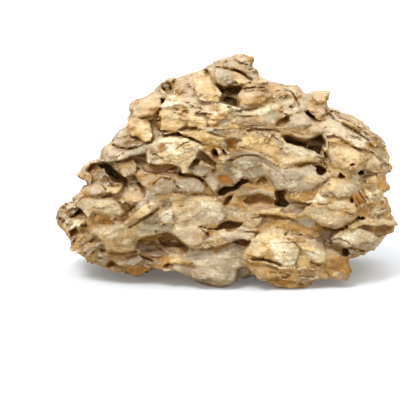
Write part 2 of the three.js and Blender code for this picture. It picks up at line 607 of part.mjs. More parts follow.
    [0, 129], [5, 130.5], [11, 129], [9, 124.5], [7, 120], [3, 118], [0, 120], [1, 125],
  ]],
  ["orange bowl", -10, 0, 0, [
    [-94, 82], [-92, 88], [-86, 92], [-78, 92.5], [-72, 89], [-70, 83], [-73, 76.5], [-79, 73],
    [-88, 75],
  ]],
  ["bowl shade", -15, 0, 0, [
    [-79, 92], [-74, 90], [-70.5, 86], [-71, 80], [-74, 81], [-75, 86],
  ]],
  ["left notch", -10, 0, 0, [
    [-139, 61], [-133, 65], [-128, 71], [-124, 67], [-121, 61], [-130, 60],
  ]],
  ["knob pit", -10, 0, 0, [
    [-149, 61], [-147, 62.5], [-145, 61], [-147, 59.5],
  ]],
  ["left cave", -17, 0, 0, [
    [-80, 37], [-77, 43], [-69, 47], [-60, 47.5], [-51, 49], [-45, 45.5], [-40, 40.5], [-34, 36.5],
    [-36, 32], [-48, 30.5], [-62, 30], [-74, 31.5],
  ]],
  ["cave shadow", -24, 0, 0, [
    [-58, 44], [-50, 45], [-44, 42.5], [-38, 38], [-42, 36], [-50, 37.5], [-57, 39],
  ]],
  ["pit under the ledge", -8, 0, 0, [
    [-57, 20], [-52, 23], [-46, 20.5], [-47, 17.5], [-54, 18],
  ]],
  ["rubble pit", -9, 0, 0, [
    [-105, 20], [-102, 24], [-98, 25], [-94, 20], [-96, 17], [-101, 17.5],
  ]],
  ["second rubble pit", -7, 0, 0, [
    [-119, 42], [-116, 45], [-113, 43], [-110, 41.5], [-113, 38.5], [-117, 39],
  ]],
  ["third rubble pit", -8, 0, 0, [
    [-112, 36.5], [-106, 35], [-103, 30], [-110, 29.5],
  ]],
  ["fourth rubble pit", -8, 0, 0, [
    [-129, 49], [-126, 52], [-122, 51], [-119, 48], [-121, 45], [-126, 45.5],
  ]],
  ["fifth rubble pit", -7, 0, 0, [
    [-137, 50], [-131, 54], [-128, 50], [-132, 43], [-136, 42],
  ]],
  ["hollow over the ledge", -6, 0, 0, [
    [-128, 55], [-122, 57.5], [-120, 53], [-125, 51.5],
  ]],
  ["dark eye", -17, 0, 0, [
    [-24, 53.7], [-16, 52.8], [-10, 53.5], [-8, 56.5], [3, 58], [12.5, 57.7], [9, 54], [3, 49.5],
    [0, 49.5], [-2, 52.5], [-10, 51.5],
  ]],
  ["long crevice", -24, 0, 0, [
    [-8.5, 84], [-3, 88.5], [5, 88.5], [9, 91.5], [13, 96], [20, 94], [13, 90.5], [9, 87], [2, 84.5],
    [-2, 81.5], [-7, 82],
  ]],
  ["short crevice", -16, 0, 0, [
    [-4, 73], [0, 78.5], [6, 81], [5, 78], [0, 74], [-2.5, 70.5],
  ]],
  ["amber eye", -13, 0, 0, [
    [14.5, 76], [19, 80.5], [25, 82], [33, 81.5], [39, 79.5], [44, 75], [43, 71], [37, 69.5], [28, 69],
    [20, 71],
  ]],
  ["black hole", -28, 0, 0, [
    [41, 85.5], [49.5, 86], [49.5, 81], [50, 78], [54, 74.5], [51, 71], [44, 70.5], [41, 73], [43, 78],
    [42, 82],
  ]],
  ["orange pit", -9, 0, 0, [
    [26, 91], [28, 95.5], [32, 97.5], [35, 93], [33, 89.5], [30, 90],
  ]],
  ["right cave", -17, 0, 0, [
    [47, 131.5], [52, 131.5], [57, 129], [66, 128], [70, 129], [74, 131.5], [81, 134.5], [82.5, 128],
    [81, 121], [79, 115], [76, 115.5], [73, 119], [69, 121.5], [65, 124], [58, 124], [51, 126],
  ]],
  ["cave depth", -26, 0, 0, [
    [50, 129.5], [56, 128], [64, 126.5], [69, 125], [66, 123.5], [58, 124.5], [52, 127],
  ]],
  ["second cave depth", -26, 0, 0, [
    [71, 124], [76, 123], [80, 121], [79, 116], [76, 116.5], [73, 119.5], [70, 121.5],
  ]],
  ["hood recess", -6, 0, 0, [
    [40, 141], [46, 147], [53, 149], [54, 144], [47, 139.5],
  ]],
  ["right pit", -9, 0, 0, [
    [82, 131], [85, 129], [84.5, 122], [82, 123.5],
  ]],
  ["second right pit", -8, 0, 0, [
    [81, 119], [84, 118.5], [85.5, 113], [82, 112.5],
  ]],
  ["deep hole", -24, 0, 0, [
    [74, 107.5], [80, 107], [85, 103.5], [83, 101], [80.5, 98.8], [76, 99.5], [74.5, 102.5],
    [76.5, 105],
  ]],
  ["slanting crack", -16, 0, 0, [
    [66.5, 153], [69, 154], [77, 146.5], [76, 144.5], [70, 149],
  ]],
  ["third hole", -17, 0, 0, [
    [110.5, 101], [115, 103.2], [117.5, 100.5], [115.5, 98], [112, 99],
  ]],
  ["small hole", -14, 0, 0, [
    [95.5, 97.5], [97.5, 100.5], [99.5, 98.5], [102, 96.8], [98, 95.5],
  ]],
  ["slope dimple", -5, 0, 0, [
    [104, 107], [107, 108], [108.5, 106.5], [106, 105.5],
  ]],
  ["nest pits", -7, 0, 0, [
    [105, 78], [107, 79.5], [109, 76.5], [107.5, 74], [105.5, 75.5],
  ]],
  ["boss pit", -7, 0, 0, [
    [99.5, 55], [102, 56], [103.5, 54], [101.5, 53],
  ]],
  ["amber ground", -9, 0, 0, [
    [125, 52], [132, 54], [142, 54.5], [153, 55], [152, 50], [141, 48], [132, 44], [127, 46],
  ]],
  ["low recess", -9, 0, 0, [
    [81, 44], [86, 45.5], [90, 41], [97, 37.5], [102, 36], [100, 32], [90, 32], [82, 36],
  ]],
  ["low hollow", -17, 0, 0, [
    [98, 35.5], [104, 36], [105.5, 31], [103, 27.5], [99, 29],
  ]],
  ["gap by the lobe", -22, 0, 0, [
    [9, 18], [14, 20.5], [18, 19], [21, 14], [25, 8], [24, 2], [8, 2], [7, 9],
  ]],
  ["brown pocket", -12, 0, 0, [
    [4, 41], [12, 43], [20, 41.5], [18, 38.5], [13.5, 35.5], [11, 38],
  ]],
  ["plate dimple", -6, 0, 0, [
    [49, 49], [51, 49.5], [51, 46.5], [49, 46.5],
  ]],
  ["pebble", -2, 0, 3, [
    [-55, 176], [-52, 178], [-49.5, 176], [-50, 173], [-53, 172],
  ]],
];

// Thin cracks across the plates: [depth, [[across, up], ...]]
const CRACKS = [
  [7, [[5, 190], [10, 188.6], [15, 185.6], [20.5, 181]]],
  [2, [[-12, 193.5], [-3, 192], [4, 190.5]]],
  [6, [[-99, 124.5], [-94, 122], [-88, 121.2], [-82, 122.3]]],
  [8, [[-42, 99], [-36, 97.8], [-30, 97.8], [-25, 95.8], [-21, 93.7]]],
  [5, [[-95, 76], [-91, 71], [-87, 68], [-84, 68.5], [-80, 72]]],
  [3, [[-89, 76], [-84, 71]]],
  [8, [[22, 26.5], [30, 26.4], [38, 23.8], [46, 21.3]]],
  [6, [[106, 36.2], [112, 34.8], [118, 32.8]]],
  [4, [[61, 106], [65, 108.5], [70, 109.4], [76, 109]]],
  [3, [[81, 111], [84, 106.5], [87.5, 101.5]]],
  [3, [[-16, 136], [-12, 133.5], [-6, 132], [1, 131], [8, 130.5]]],
  [2, [[-60, 133], [-52, 133.3], [-43, 135.3], [-37, 131.5], [-30, 129], [-23, 126]]],
  [4, [[-47, 93.5], [-44, 89], [-40.5, 86.5]]],
  [4, [[-1.5, 112.4], [4, 111.5]]],
  [4, [[5, 130.6], [10, 130.2], [12, 127.5]]],
  [3, [[-131, 74], [-126, 79], [-122, 79.5]]],
  [3, [[-109.3, 91], [-105, 86]]],
  [3, [[-103, 31.8], [-94, 31], [-84, 32], [-79, 32.5]]],
  [5, [[-77, 30.5], [-71, 27.5], [-64.5, 24.3]]],
  [3, [[20, 61.2], [28, 62.3], [36, 63.8], [46, 62], [57, 59.4]]],
  [3, [[17, 80], [26, 82], [35, 81.3]]],
  [3, [[52, 74.6], [62, 75.1], [71, 74], [84, 73]]],
  [2, [[82, 54.5], [87, 52.5], [92, 51], [100, 51.6]]],
  [2, [[101, 66], [106, 64.8], [109.5, 61.8], [111.5, 58.3]]],
  [3, [[112, 84.5], [118.5, 75.2]]],
  [2, [[110, 80.5], [113.5, 75]]],
  [2, [[54, 135.3], [64, 133.3], [74, 133]]],
  [2, [[122, 120.6], [127.5, 115.7], [133.5, 110.1]]],
  [3, [[52, 43.8], [58, 40.3], [61.5, 36.2]]],
  [3, [[71, 24.5], [76, 22.2], [81, 20.9], [84, 22]]],
  [4, [[19.5, 41.5], [23, 44], [25, 48]]],
  [4, [[-84, 53.5], [-76, 58.5], [-68, 64], [-59, 70.5]]],
  [3, [[-64, 91], [-56, 96], [-48, 94.5]]],
  [2, [[-46, 84], [-34, 81.5], [-24, 82], [-12, 81]]],
  [3, [[-22, 52.5], [-17, 47], [-19, 42], [-14, 37]]],
  [3, [[88, 43], [96, 44], [104, 40], [108, 38]]],
  [2, [[92, 152], [104, 146], [118, 137], [132, 127]]],
  [2, [[100, 143], [112, 135], [124, 127]]],
  [3, [[50, 171.5], [54, 171], [57, 167], [62, 158]]],
  [2, [[36, 15], [48, 14], [60, 12], [74, 11]]],
  [2, [[14, 173], [22, 174.3], [32, 173.5]]],
  [2, [[15, 170.5], [26, 171.5], [37, 169.5]]],
  [2, [[38, 8], [52, 7], [64, 5]]],
  [2, [[-46, 121], [-38, 125], [-30, 128]]],
];

// Layered scales, flat cells that overlap along the bedding
const BEDDING_ARCH = 0.0026; // the bedding is an arch: its slope for each millimetre from the middle
const BEDDING_DIP = 0.12; // its rise towards the front
// The size of a cell, how far cells stand out at most, how much they lean, how deep they are hollowed,
// and how much of them shows on the drawn plates.
const SCALES = [
  { cell: [84, 60, 56], reach: 8, lean: 0.05, hollow: -14, onPlates: 0, seed: 14 },
  { cell: [58, 50, 19], reach: 7, lean: 0.15, hollow: 5, onPlates: 0.15, seed: 11 },
  { cell: [26, 24, 9], reach: 2.4, lean: 0.12, hollow: 3.5, onPlates: 0.6, seed: 12 },
];
const MEAN_OFFSET = 0.45; // the usual distance to the middle of a cell, in cells

// The plates and pockets of the back, the ends and the top, which a loop strews over each side:
// [reach, lean, crown, size in cells]
const KINDS = [
  [7, 0.12, 3, 1], [4, 0.1, 2, 0.9], [9, 0.15, 2, 0.8], [2, 0.1, 4, 1], [-4, 0.1, 2, 0.9],
  [5, 0.2, 2, 0.7], [-9, 0, 0, 0.8], [-12, 0, -2, 0.65], [-24, 0, 0, 0.4],
];
const STREWN_CELL = [40, 20];
const CORNERS = 9;
const BLOB_RADIUS = [0.4, 0.9]; // smallest and largest radius of a corner, in cells
const BLOB_TILT = 0.6;
const BLOB_SHIFT = 0.6; // how far it is moved from its place in the rows, in cells
// Each side: the way it faces, the lines on it that point across and up, and where its rows start and
// end along them. The rows are tilted.
const SIDES = [
  [[0, 1, 0], [-0.97, 0, 0.24], [0.24, 0, 0.97], [-150, -40], [200, 230], 51],
  [[-1, 0, 0], [0, -0.9, 0.44], [0, 0.44, 0.9], [-80, -40], [140, 180], 52],
  [[1, 0, 0], [0, 0.9, -0.44], [0, 0.44, 0.9], [-140, -40], [90, 180], 53],
  [[0, 0, 1], [0.9, 0.44, 0], [-0.44, 0.9, 0], [-120, -90], [140, 110], 54],
];
const HALF_SIZES = [150, 75, 105];
const MIDDLE_LEVEL = 80;
const SIDE_FADE = [0.5, 0.75]; // a side begins and is whole where the surface faces its way this much
const BACK_FADE = [-25, 10]; // the strewn plates begin and are whole this far behind the middle
const FRONT_FADE = [14, -6]; // and the drawn ones

// Feet: [x, y, radius]
const FEET = [[56, -57, 32], [-8, -59, 20], [-78, -25, 19], [-26, 42, 28], [68, 34, 24]];
const UNDERSIDE_GAP = 8; // how high the underside is between the feet
const FOOT_LEVEL = -4; // the feet run on below the floor, which cuts them flat

const DEEPEST = 40; // no relief reaches further than this from the cushion
const UNDERCUT = 0.15; // how far a plate's edge slopes back under it, for each millimetre of depth
const POCKET = -5; // a plate this deep is a pocket under the one above
const HOLE = -19; // and one this deep is a hole
const POCKET_ROOF = 1.3; // depth of a pocket under its upper lip, as a share of its reach
const POCKET_FOOT = 2.5; // how far its foot stands out
const POCKET_CURVE = 1.7;
const POCKET_TEXTURE = 0.6;
const FRONT_SHRINK = 9; // how much smaller the outline is at the very front
const LOW_SHRINK = 2; // the same near the floor
const BACK_SHRINK = 30; // and at the very back
const EDGE = 2; // half the width of the step at a plate's edge
const ROUNDING = 5; // how far in from its edge a plate's crown mostly rises
const CRACK_WIDTH = 0.8; // half the width of a crack with no depth
const CRACK_SPREAD = 0.1; // and how much wider it is for each millimetre of depth

// Noises: [size of a bump, height of a bump, seed]
const SWELL = [70, 1, 1]; // of the cushion's thickness
const FRONT_SWELL = 0.12; // how much of it the front shows
const BACK_SWELL = 0.3;
const BEND = [90, 14, 2]; // of the middle surface
const LONG_WAVE = [55, 7, 3]; // of the bedding
const SHORT_WAVE = [21, 2.5, 4];
const LUMPS = [34, 3.5, 5]; // of the ground
const LUMPS_ON_PLATES = 0.3;
const RAGGED_ACROSS = [[11, 1.8, 6], [4.5, 0.72, 7]]; // of the plates' edges
const RAGGED_UP = [[11, 1.08, 8], [4.5, 0.54, 9]];
const FOOT_UNEVEN = [20, 7, 13];
const GAP_UNEVEN = [28, 7, 10];

const clamp01 = (t) => Math.min(1, Math.max(0, t));
const mix = (a, b, t) => a + (b - a) * t;
const dot = (a, b) => a[0] * b[0] + a[1] * b[1] + a[2] * b[2];

function smoothstep(low, high, x) {
  const t = clamp01((x - low) / (high - low));
  return t * t * (3 - 2 * t);
}

// The larger of two values, rounded off where they are within k of each other.
function smoothMax(a, b, k) {
  const h = Math.max(k - Math.abs(a - b), 0) / k;
  return Math.max(a, b) + (h * h * k) / 4;
}

// A number from 0 to 1 for each point of the whole-number lattice.
function hash(i, j, k, seed) {
  let h = Math.imul(i, 374761393) + Math.imul(j, 668265263);
  h = (h + Math.imul(k, 1442695041) + Math.imul(seed, 974711)) | 0;
  h = Math.imul(h ^ (h >>> 13), 1274126177);
  h = Math.imul(h ^ (h >>> 15), 461845907);
  return ((h ^ (h >>> 16)) >>> 0) / 4294967296;
}

// Smooth noise from -1 to 1 whose bumps are about size millimetres apart.
function noise(x, y, z, size, seed) {
  const [px, py, pz] = [x / size, y / size, z / size];
  const [i, j, k] = [Math.floor(px), Math.floor(py), Math.floor(pz)];
  const fade = (t) => t * t * t * (t * (t * 6 - 15) + 10);
  const [a, b, c] = [fade(px - i), fade(py - j), fade(pz - k)];
  let sum = 0;
  for (let n = 0; n < 8; n++) {
    const [di, dj, dk] = [n & 1, (n >> 1) & 1, n >> 2];
    const weight = (di ? a : 1 - a) * (dj ? b : 1 - b) * (dk ? c : 1 - c);
    sum += weight * hash(i + di, j + dj, k + dk, seed);
  }
  return sum * 2 - 1;
}

const ripple = ([size, height, seed], x, y, z) => height * noise(x, y, z, size, seed);
const ripples = (all, x, y, z) => all.reduce((sum, one) => sum + ripple(one, x, y, z), 0);

// Distance from a point to the straight line between two others.
function segmentDistance([ax, ay], [bx, by], u, v) {
  const [ex, ey] = [bx - ax, by - ay];
  const t = clamp01(((u - ax) * ex + (v - ay) * ey) / (ex * ex + ey * ey));
  return Math.hypot(u - ax - t * ex, v - ay - t * ey);
}

// Distance from a point to a closed outline, positive inside.
function insideDistance(outline, u, v) {
  let nearest = Infinity;
  let inside = false;
  for (let i = 0, j = outline.length - 1; i < outline.length; j = i++) {
    const [ax, ay] = outline[i];
    const [bx, by] = outline[j];
    nearest = Math.min(nearest, segmentDistance(outline[i], outline[j], u, v));
    if (ay > v !== by > v && u < ((bx - ax) * (v - ay)) / (by - ay) + ax) inside = !inside;
  }
  return inside ? nearest : -nearest;
}

// Distance from a point to an open line.
function lineDistance(line, u, v) {
  let nearest = Infinity;
  for (let i = 1; i < line.length; i++) {
    nearest = Math.min(nearest, segmentDistance(line[i - 1], line[i], u, v));
  }
  return nearest;
}

// Distance from the rim of the cushion, positive inside, rounded off at its corners.
function rimDistance(u, v) {
  let sum = 0;
  for (let i = 0, j = CUSHION_RIM.length - 1; i < CUSHION_RIM.length; j = i++) {
    const [ax, ay] = CUSHION_RIM[j];
    const [ex, ey] = [CUSHION_RIM[i][0] - ax, CUSHION_RIM[i][1] - ay];
    const distance = ((v - ay) * ex - (u - ax) * ey) / Math.hypot(ex, ey);
    sum += Math.exp(distance / RIM_ROUNDING);
  }
  return -RIM_ROUNDING * Math.log(sum);
}

const OUTLINE = [...TOP_OUTLINE, ...BOTTOM_OUTLINE];

const boxOf = (line) => new THREE.Box2().setFromPoints(line.map(([u, v]) => new THREE.Vector2(u, v)));

// A plate with the box of its outline, so that most points can skip it.
function plateOf(reach, lean, crown, outline) {
  const box = boxOf(outline);
  const middle = (box.min.y + box.max.y) / 2;
  return { reach, lean, crown, outline, box, middle, tall: box.max.y - box.min.y };
}

// An uneven round outline in a tilted frame.
function blob([u, v], size, pick) {
  const tilt = BLOB_TILT * (pick(3) - 0.5);
  return Array.from({ length: CORNERS }, (_, n) => {
    const angle = (2 * Math.PI * n) / CORNERS;
    const radius = size * mix(...BLOB_RADIUS, pick(4 + n));
    const du = radius * STREWN_CELL[0] * Math.cos(angle);
    return [u + du, v + radius * STREWN_CELL[1] * Math.sin(angle) + tilt * du];
  });
}

// The strewn plates of one side, in rows, with the pockets and holes on top.
function strewnPlates(low, high, seed) {
  const strewn = [];
  const [width, height] = STREWN_CELL;
  for (let row = 0; low[1] + row * height < high[1]; row++) {
    for (let column = 0; low[0] + column * width < high[0]; column++) {
      const pick = (n) => hash(row, column, n, seed);
      const [reach, lean, crown, size] = KINDS[Math.floor(pick(0) * KINDS.length)];
      const u = low[0] + (column + 0.5 * (row % 2) + BLOB_SHIFT * pick(1)) * width;
      const v = low[1] + (row + BLOB_SHIFT * pick(2)) * height;
      strewn.push(plateOf(reach, lean, crown, blob([u, v], size, pick)));
    }
  }
  const isPocket = (plate) => plate.reach <= POCKET;
  return [...strewn.filter((plate) => !isPocket(plate)), ...strewn.filter(isPocket)];
}

const drawnPlates = PLATES.map(([, ...plate]) => plateOf(...plate));
const cracks = CRACKS.map(([depth, line]) => ({ depth, line, box: boxOf(line) }));
const sides = SIDES.map(([faces, across, up, low, high, seed]) => (
  { faces, across, up, plates: strewnPlates(low, high, seed) }
));

// How much a side counts at a point of the cushion, from how far the surface there faces its way.
function facing({ faces }, x, y, z) {
  const away = [x, y - MIDDLE_Y, z - MIDDLE_LEVEL];
  const normal = away.map((c, n) => c / HALF_SIZES[n] ** 2);
  return smoothstep(...SIDE_FADE, dot(normal, faces) / Math.hypot(...normal, 1e-9));
}

// The relief of one layer of scales: each cell of a stretched lattice stands out by its own amount.
function scaleRelief(layer, x, y, bed) {
  const [sx, sy, sz] = layer.cell;
  const [px, py, pz] = [x / sx, y / sy, bed / sz];
  const [i, j, k] = [Math.floor(px - 0.5), Math.floor(py - 0.5), Math.floor(pz - 0.5)];
  let nearest = Infinity;
  let relief = 0;
  for (let n = 0; n < 8; n++) {
    const [ci, cj, ck] = [i + (n & 1), j + ((n >> 1) & 1), k + (n >> 2)];
    const cx = ci + 0.5 + 0.7 * (hash(ci, cj, ck, layer.seed) - 0.5);
    const cy = cj + 0.5 + 0.7 * (hash(ci, cj, ck, layer.seed + 31) - 0.5);
    const cz = ck + 0.5 + 0.7 * (hash(ci, cj, ck, layer.seed + 62) - 0.5);
    const distance = (px - cx) ** 2 + (py - cy) ** 2 + (pz - cz) ** 2;
    if (distance < nearest) {
      nearest = distance;
      const out = hash(ci, cj, ck, layer.seed + 93) - 0.5;
      relief = 2 * out * layer.reach - layer.lean * (pz - cz) * sz;
    }
  }
  return relief + layer.hollow * (Math.sqrt(nearest) - MEAN_OFFSET);
}

// The relief of a plate, at a distance inside its edge and down from its middle. A pocket is deepest
// under its upper lip and runs out at its foot.
function plateFace({ reach, lean, crown, tall }, inside, down, texture) {
  if (reach <= POCKET && reach > HOLE) {
    const t = clamp01(0.5 + down / tall);
    const depth = POCKET_ROOF * reach * (1 - t ** POCKET_CURVE);
    return depth + POCKET_FOOT * t + POCKET_TEXTURE * texture;
  }
  return reach + lean * down + crown * (1 - Math.exp(-Math.max(inside, 0) / ROUNDING)) + texture;
}

// The relief of the drawn plates over the given ground, at a height above the cushion. texture is what
// shows of the scales on the plates.
function plateRelief(plates, u, v, height, ground, texture) {
  let relief = ground;
  for (const plate of plates) {
    const shifted = plate.reach <= POCKET ? v : v - UNDERCUT * (plate.reach - height);
    const { min, max } = plate.box;
    if (u < min.x - EDGE || u > max.x + EDGE || shifted < min.y - EDGE || shifted > max.y + EDGE) {
      continue;
    }
    const inside = insideDistance(plate.outline, u, shifted);
    if (inside <= -EDGE) continue;
    const drawn = plateFace(plate, inside, plate.middle - v, texture);
    const face = plate.reach <= POCKET ? Math.min(drawn, relief) : drawn;
    relief = mix(relief, face, smoothstep(-EDGE, EDGE, inside));
  }
  return relief;
}

// How deep the cracks cut at a point.
function crackDepth(u, v) {
  let deepest = 0;
  for (const { depth, line, box } of cracks) {
    const width = CRACK_WIDTH + CRACK_SPREAD * depth;
    if (u < box.min.x - width || u > box.max.x + width) continue;
    if (v < box.min.y - width || v > box.max.y + width) continue;
    const away = lineDistance(line, u, v);
    deepest = Math.max(deepest, depth * smoothstep(width, 0, away));
  }
  return deepest;
}

// The level of the underside: low at the feet and a few millimetres up between them.
function undersideLevel(x, y) {
  const uneven = ripple(FOOT_UNEVEN, x, y, 0);
  const footing = FEET.map(([fx, fy, radius]) =>
    smoothstep(radius, radius * 0.4, Math.hypot(x - fx, y - fy) + uneven));
  const gap = UNDERSIDE_GAP + ripple(GAP_UNEVEN, x, y, 0);
  return mix(gap, FOOT_LEVEL, Math.max(...footing));
}

// The stone as one function of space, in millimetres: negative inside, positive outside.
function stone(x, y, z) {
  const u = x;
  const v = z * Math.cos(VIEW_ELEVATION) + (y - NEAR_FOOT_Y) * Math.sin(VIEW_ELEVATION);
  const behind = y - MIDDLE_Y - ripple(BEND, x, 0, z) - LEAN_BACK * (z - LEAN_LEVEL);
  const [fullReach, swell] = behind < 0 ? [FRONT_REACH, FRONT_SWELL] : [BACK_REACH, BACK_SWELL];
  const reach = fullReach * (1 + swell * ripple(SWELL, x, y, z));
  const rim = rimDistance(u, v);
  const thin = Math.max(RIM - rim, 0) / RIM;
  const fullness = behind < 0 ? FRONT_FULLNESS : BACK_FULLNESS;
  const section = (thin ** fullness + (Math.abs(behind) / reach) ** fullness) ** (1 / fullness);
  const cushion = (section - 1) * RIM;
  if (cushion > DEEPEST) return cushion;
  const below = undersideLevel(x, y) - z;
  if (cushion < -DEEPEST) return Math.max(cushion, below);

  const wave = ripples([LONG_WAVE, SHORT_WAVE], x, y, z);
  const bed = z + (BEDDING_ARCH / 2) * x * x - BEDDING_DIP * y + wave;
  let ground = ripple(LUMPS, x, y, bed * 2);
  let texture = LUMPS_ON_PLATES * ground;
  for (const layer of SCALES) {
    const relief = scaleRelief(layer, x, y, bed);
    ground += relief;
    texture += layer.onPlates * relief;
  }

  const du = ripples(RAGGED_ACROSS, x, y, z);
  const dv = ripples(RAGGED_UP, x, y, z);
  let relief = ground;
  for (const side of sides) {
    const weight = facing(side, x, y, z) * smoothstep(...BACK_FADE, behind);
    if (weight === 0) continue;
    const [across, up] = [dot(side.across, [x, y, z]) + du, dot(side.up, [x, y, z]) + dv];
    relief = mix(relief, plateRelief(side.plates, across, up, cushion, relief, texture), weight);
  }
  let drawn = plateRelief(drawnPlates, u + du, v + dv, cushion, relief, texture);
  drawn -= crackDepth(u + 0.5 * du, v + 0.5 * dv);
  relief = mix(relief, drawn, smoothstep(...FRONT_FADE, behind));
  relief *= 1 - 0.7 * smoothstep(14, 0, rim) * smoothstep(25, 5, Math.abs(behind));

  const frontShrink = mix(LOW_SHRINK, FRONT_SHRINK, smoothstep(20, 80, v));
  const shrink = (behind < 0 ? frontShrink : BACK_SHRINK) * (behind / reach) ** 2;
  const uneven = 0.6 * smoothstep(1, 8, shrink) * relief;
  const edge = shrink - uneven - insideDistance(OUTLINE, u + 0.5 * du, v + 0.5 * dv) - 1;
  return smoothMax(smoothMax(cushion - relief, edge, 2), below, 6);
}

// Samples the function on a lattice and meshes its zero surface, tetrahedron by tetrahedron.
function surfaceOf(field, box, cell) {
  const size = box.getSize(new THREE.Vector3());
  const [nx, ny, nz] = size.toArray().map((length) => Math.ceil(length / cell) + 1);
  const at = (i, j, k) => i + nx * (j + ny * k);
  const place = (node) => {
    const [i, j, k] = [node % nx, Math.floor(node / nx) % ny, Math.floor(node / (nx * ny))];
    return new THREE.Vector3(i, j, k).multiplyScalar(cell).add(box.min);
  };
  const values = new Float64Array(nx * ny * nz);
  for (let node = 0; node < values.length; node++) {
    values[node] = field(...place(node).toArray());
  }

  const points = [];
  const faces = [];
  const known = new Map();
  const crossing = (inner, outer) => {
    const key = Math.min(inner, outer) * values.length + Math.max(inner, outer);
    if (!known.has(key)) {
      const t = values[inner] / (values[inner] - values[outer]);
      known.set(key, points.length);
      points.push(place(inner).lerp(place(outer), Math.min(0.93, Math.max(0.07, t))));
    }
    return known.get(key);
  };
  const addFace = (a, b, c, outward) => {
    const ab = points[b].clone().sub(points[a]);
    const ac = points[c].clone().sub(points[a]);
    faces.push(ab.cross(ac).dot(outward) > 0 ? [a, b, c] : [a, c, b]);
  };

  // Six tetrahedra round the diagonal of a cube, by the cube's corner numbers.
  const tetrahedra = [
    [0, 1, 3, 7], [0, 1, 5, 7], [0, 2, 3, 7], [0, 2, 6, 7], [0, 4, 5, 7], [0, 4, 6, 7],
  ];
  for (let k = 0; k < nz - 1; k++) {
    for (let j = 0; j < ny - 1; j++) {
      for (let i = 0; i < nx - 1; i++) {
        const corner = (n) => at(i + (n & 1), j + ((n >> 1) & 1), k + (n >> 2));
        const corners = [...Array(8).keys()].map(corner);
        const full = corners.filter((node) => values[node] < 0).length;
        if (full === 0 || full === 8) continue;
        for (const tetrahedron of tetrahedra) {
          const nodes = tetrahedron.map((n) => corners[n]);
          const inner = nodes.filter((node) => values[node] < 0);
          const outer = nodes.filter((node) => values[node] >= 0);
          if (!inner.length || !outer.length) continue;
          const mean = (list) => {
            const sum = list.reduce((total, node) => total.add(place(node)), new THREE.Vector3());
            return sum.divideScalar(list.length);
          };
          const outward = mean(outer).sub(mean(inner));
          if (inner.length === 2) {
            const [a, b, c, d] = [
              crossing(inner[0], outer[0]), crossing(inner[0], outer[1]),
              crossing(inner[1], outer[1]), crossing(inner[1], outer[0]),
            ];
            addFace(a, b, c, outward);
            addFace(a, c, d, outward);
          } else {
            const [one, rest] = inner.length === 1 ? [inner[0], outer] : [outer[0], inner];
            const [a, b, c] = rest.map((node) =>
              inner.length === 1 ? crossing(one, node) : crossing(node, one));
            addFace(a, b, c, outward);
          }
        }
      }
    }
  }
  return { points, faces };
}

// Keeps the largest connected shell, which drops chips that float free and sealed bubbles.
function largestShell({ points, faces }) {
  const parent = points.map((_, i) => i);
  const root = (i) => {
    while (parent[i] !== i) {
      parent[i] = parent[parent[i]];
      i = parent[i];
    }
    return i;
  };
  for (const [a, b, c] of faces) {
    parent[root(b)] = root(a);
    parent[root(c)] = root(a);
  }
  const count = new Map();
  for (const [a] of faces) count.set(root(a), (count.get(root(a)) ?? 0) + 1);
  const [main] = [...count].sort((p, q) => q[1] - p[1])[0];
  return { points, faces: faces.filter(([a]) => root(a) === main) };
}

// A heap of edges to collapse, cheapest first.
class Heap {
  constructor() {
    this.items = [];
  }

  push(item) {
    const { items } = this;
    let i = items.push(item) - 1;
    while (i > 0) {
      const up = (i - 1) >> 1;
      if (items[up].cost <= item.cost) break;
      items[i] = items[up];
      i = up;
    }
    items[i] = item;
  }

  pop() {
    const { items } = this;
    const top = items[0];
    const item = items.pop();
    if (items.length) {
      let i = 0;
      for (;;) {
        let child = 2 * i + 1;
        if (child >= items.length) break;
        if (child + 1 < items.length && items[child + 1].cost < items[child].cost) child++;
        if (items[child].cost >= item.cost) break;
        items[i] = items[child];
        i = child;
      }
      items[i] = item;
    }
    return top;
  }
}

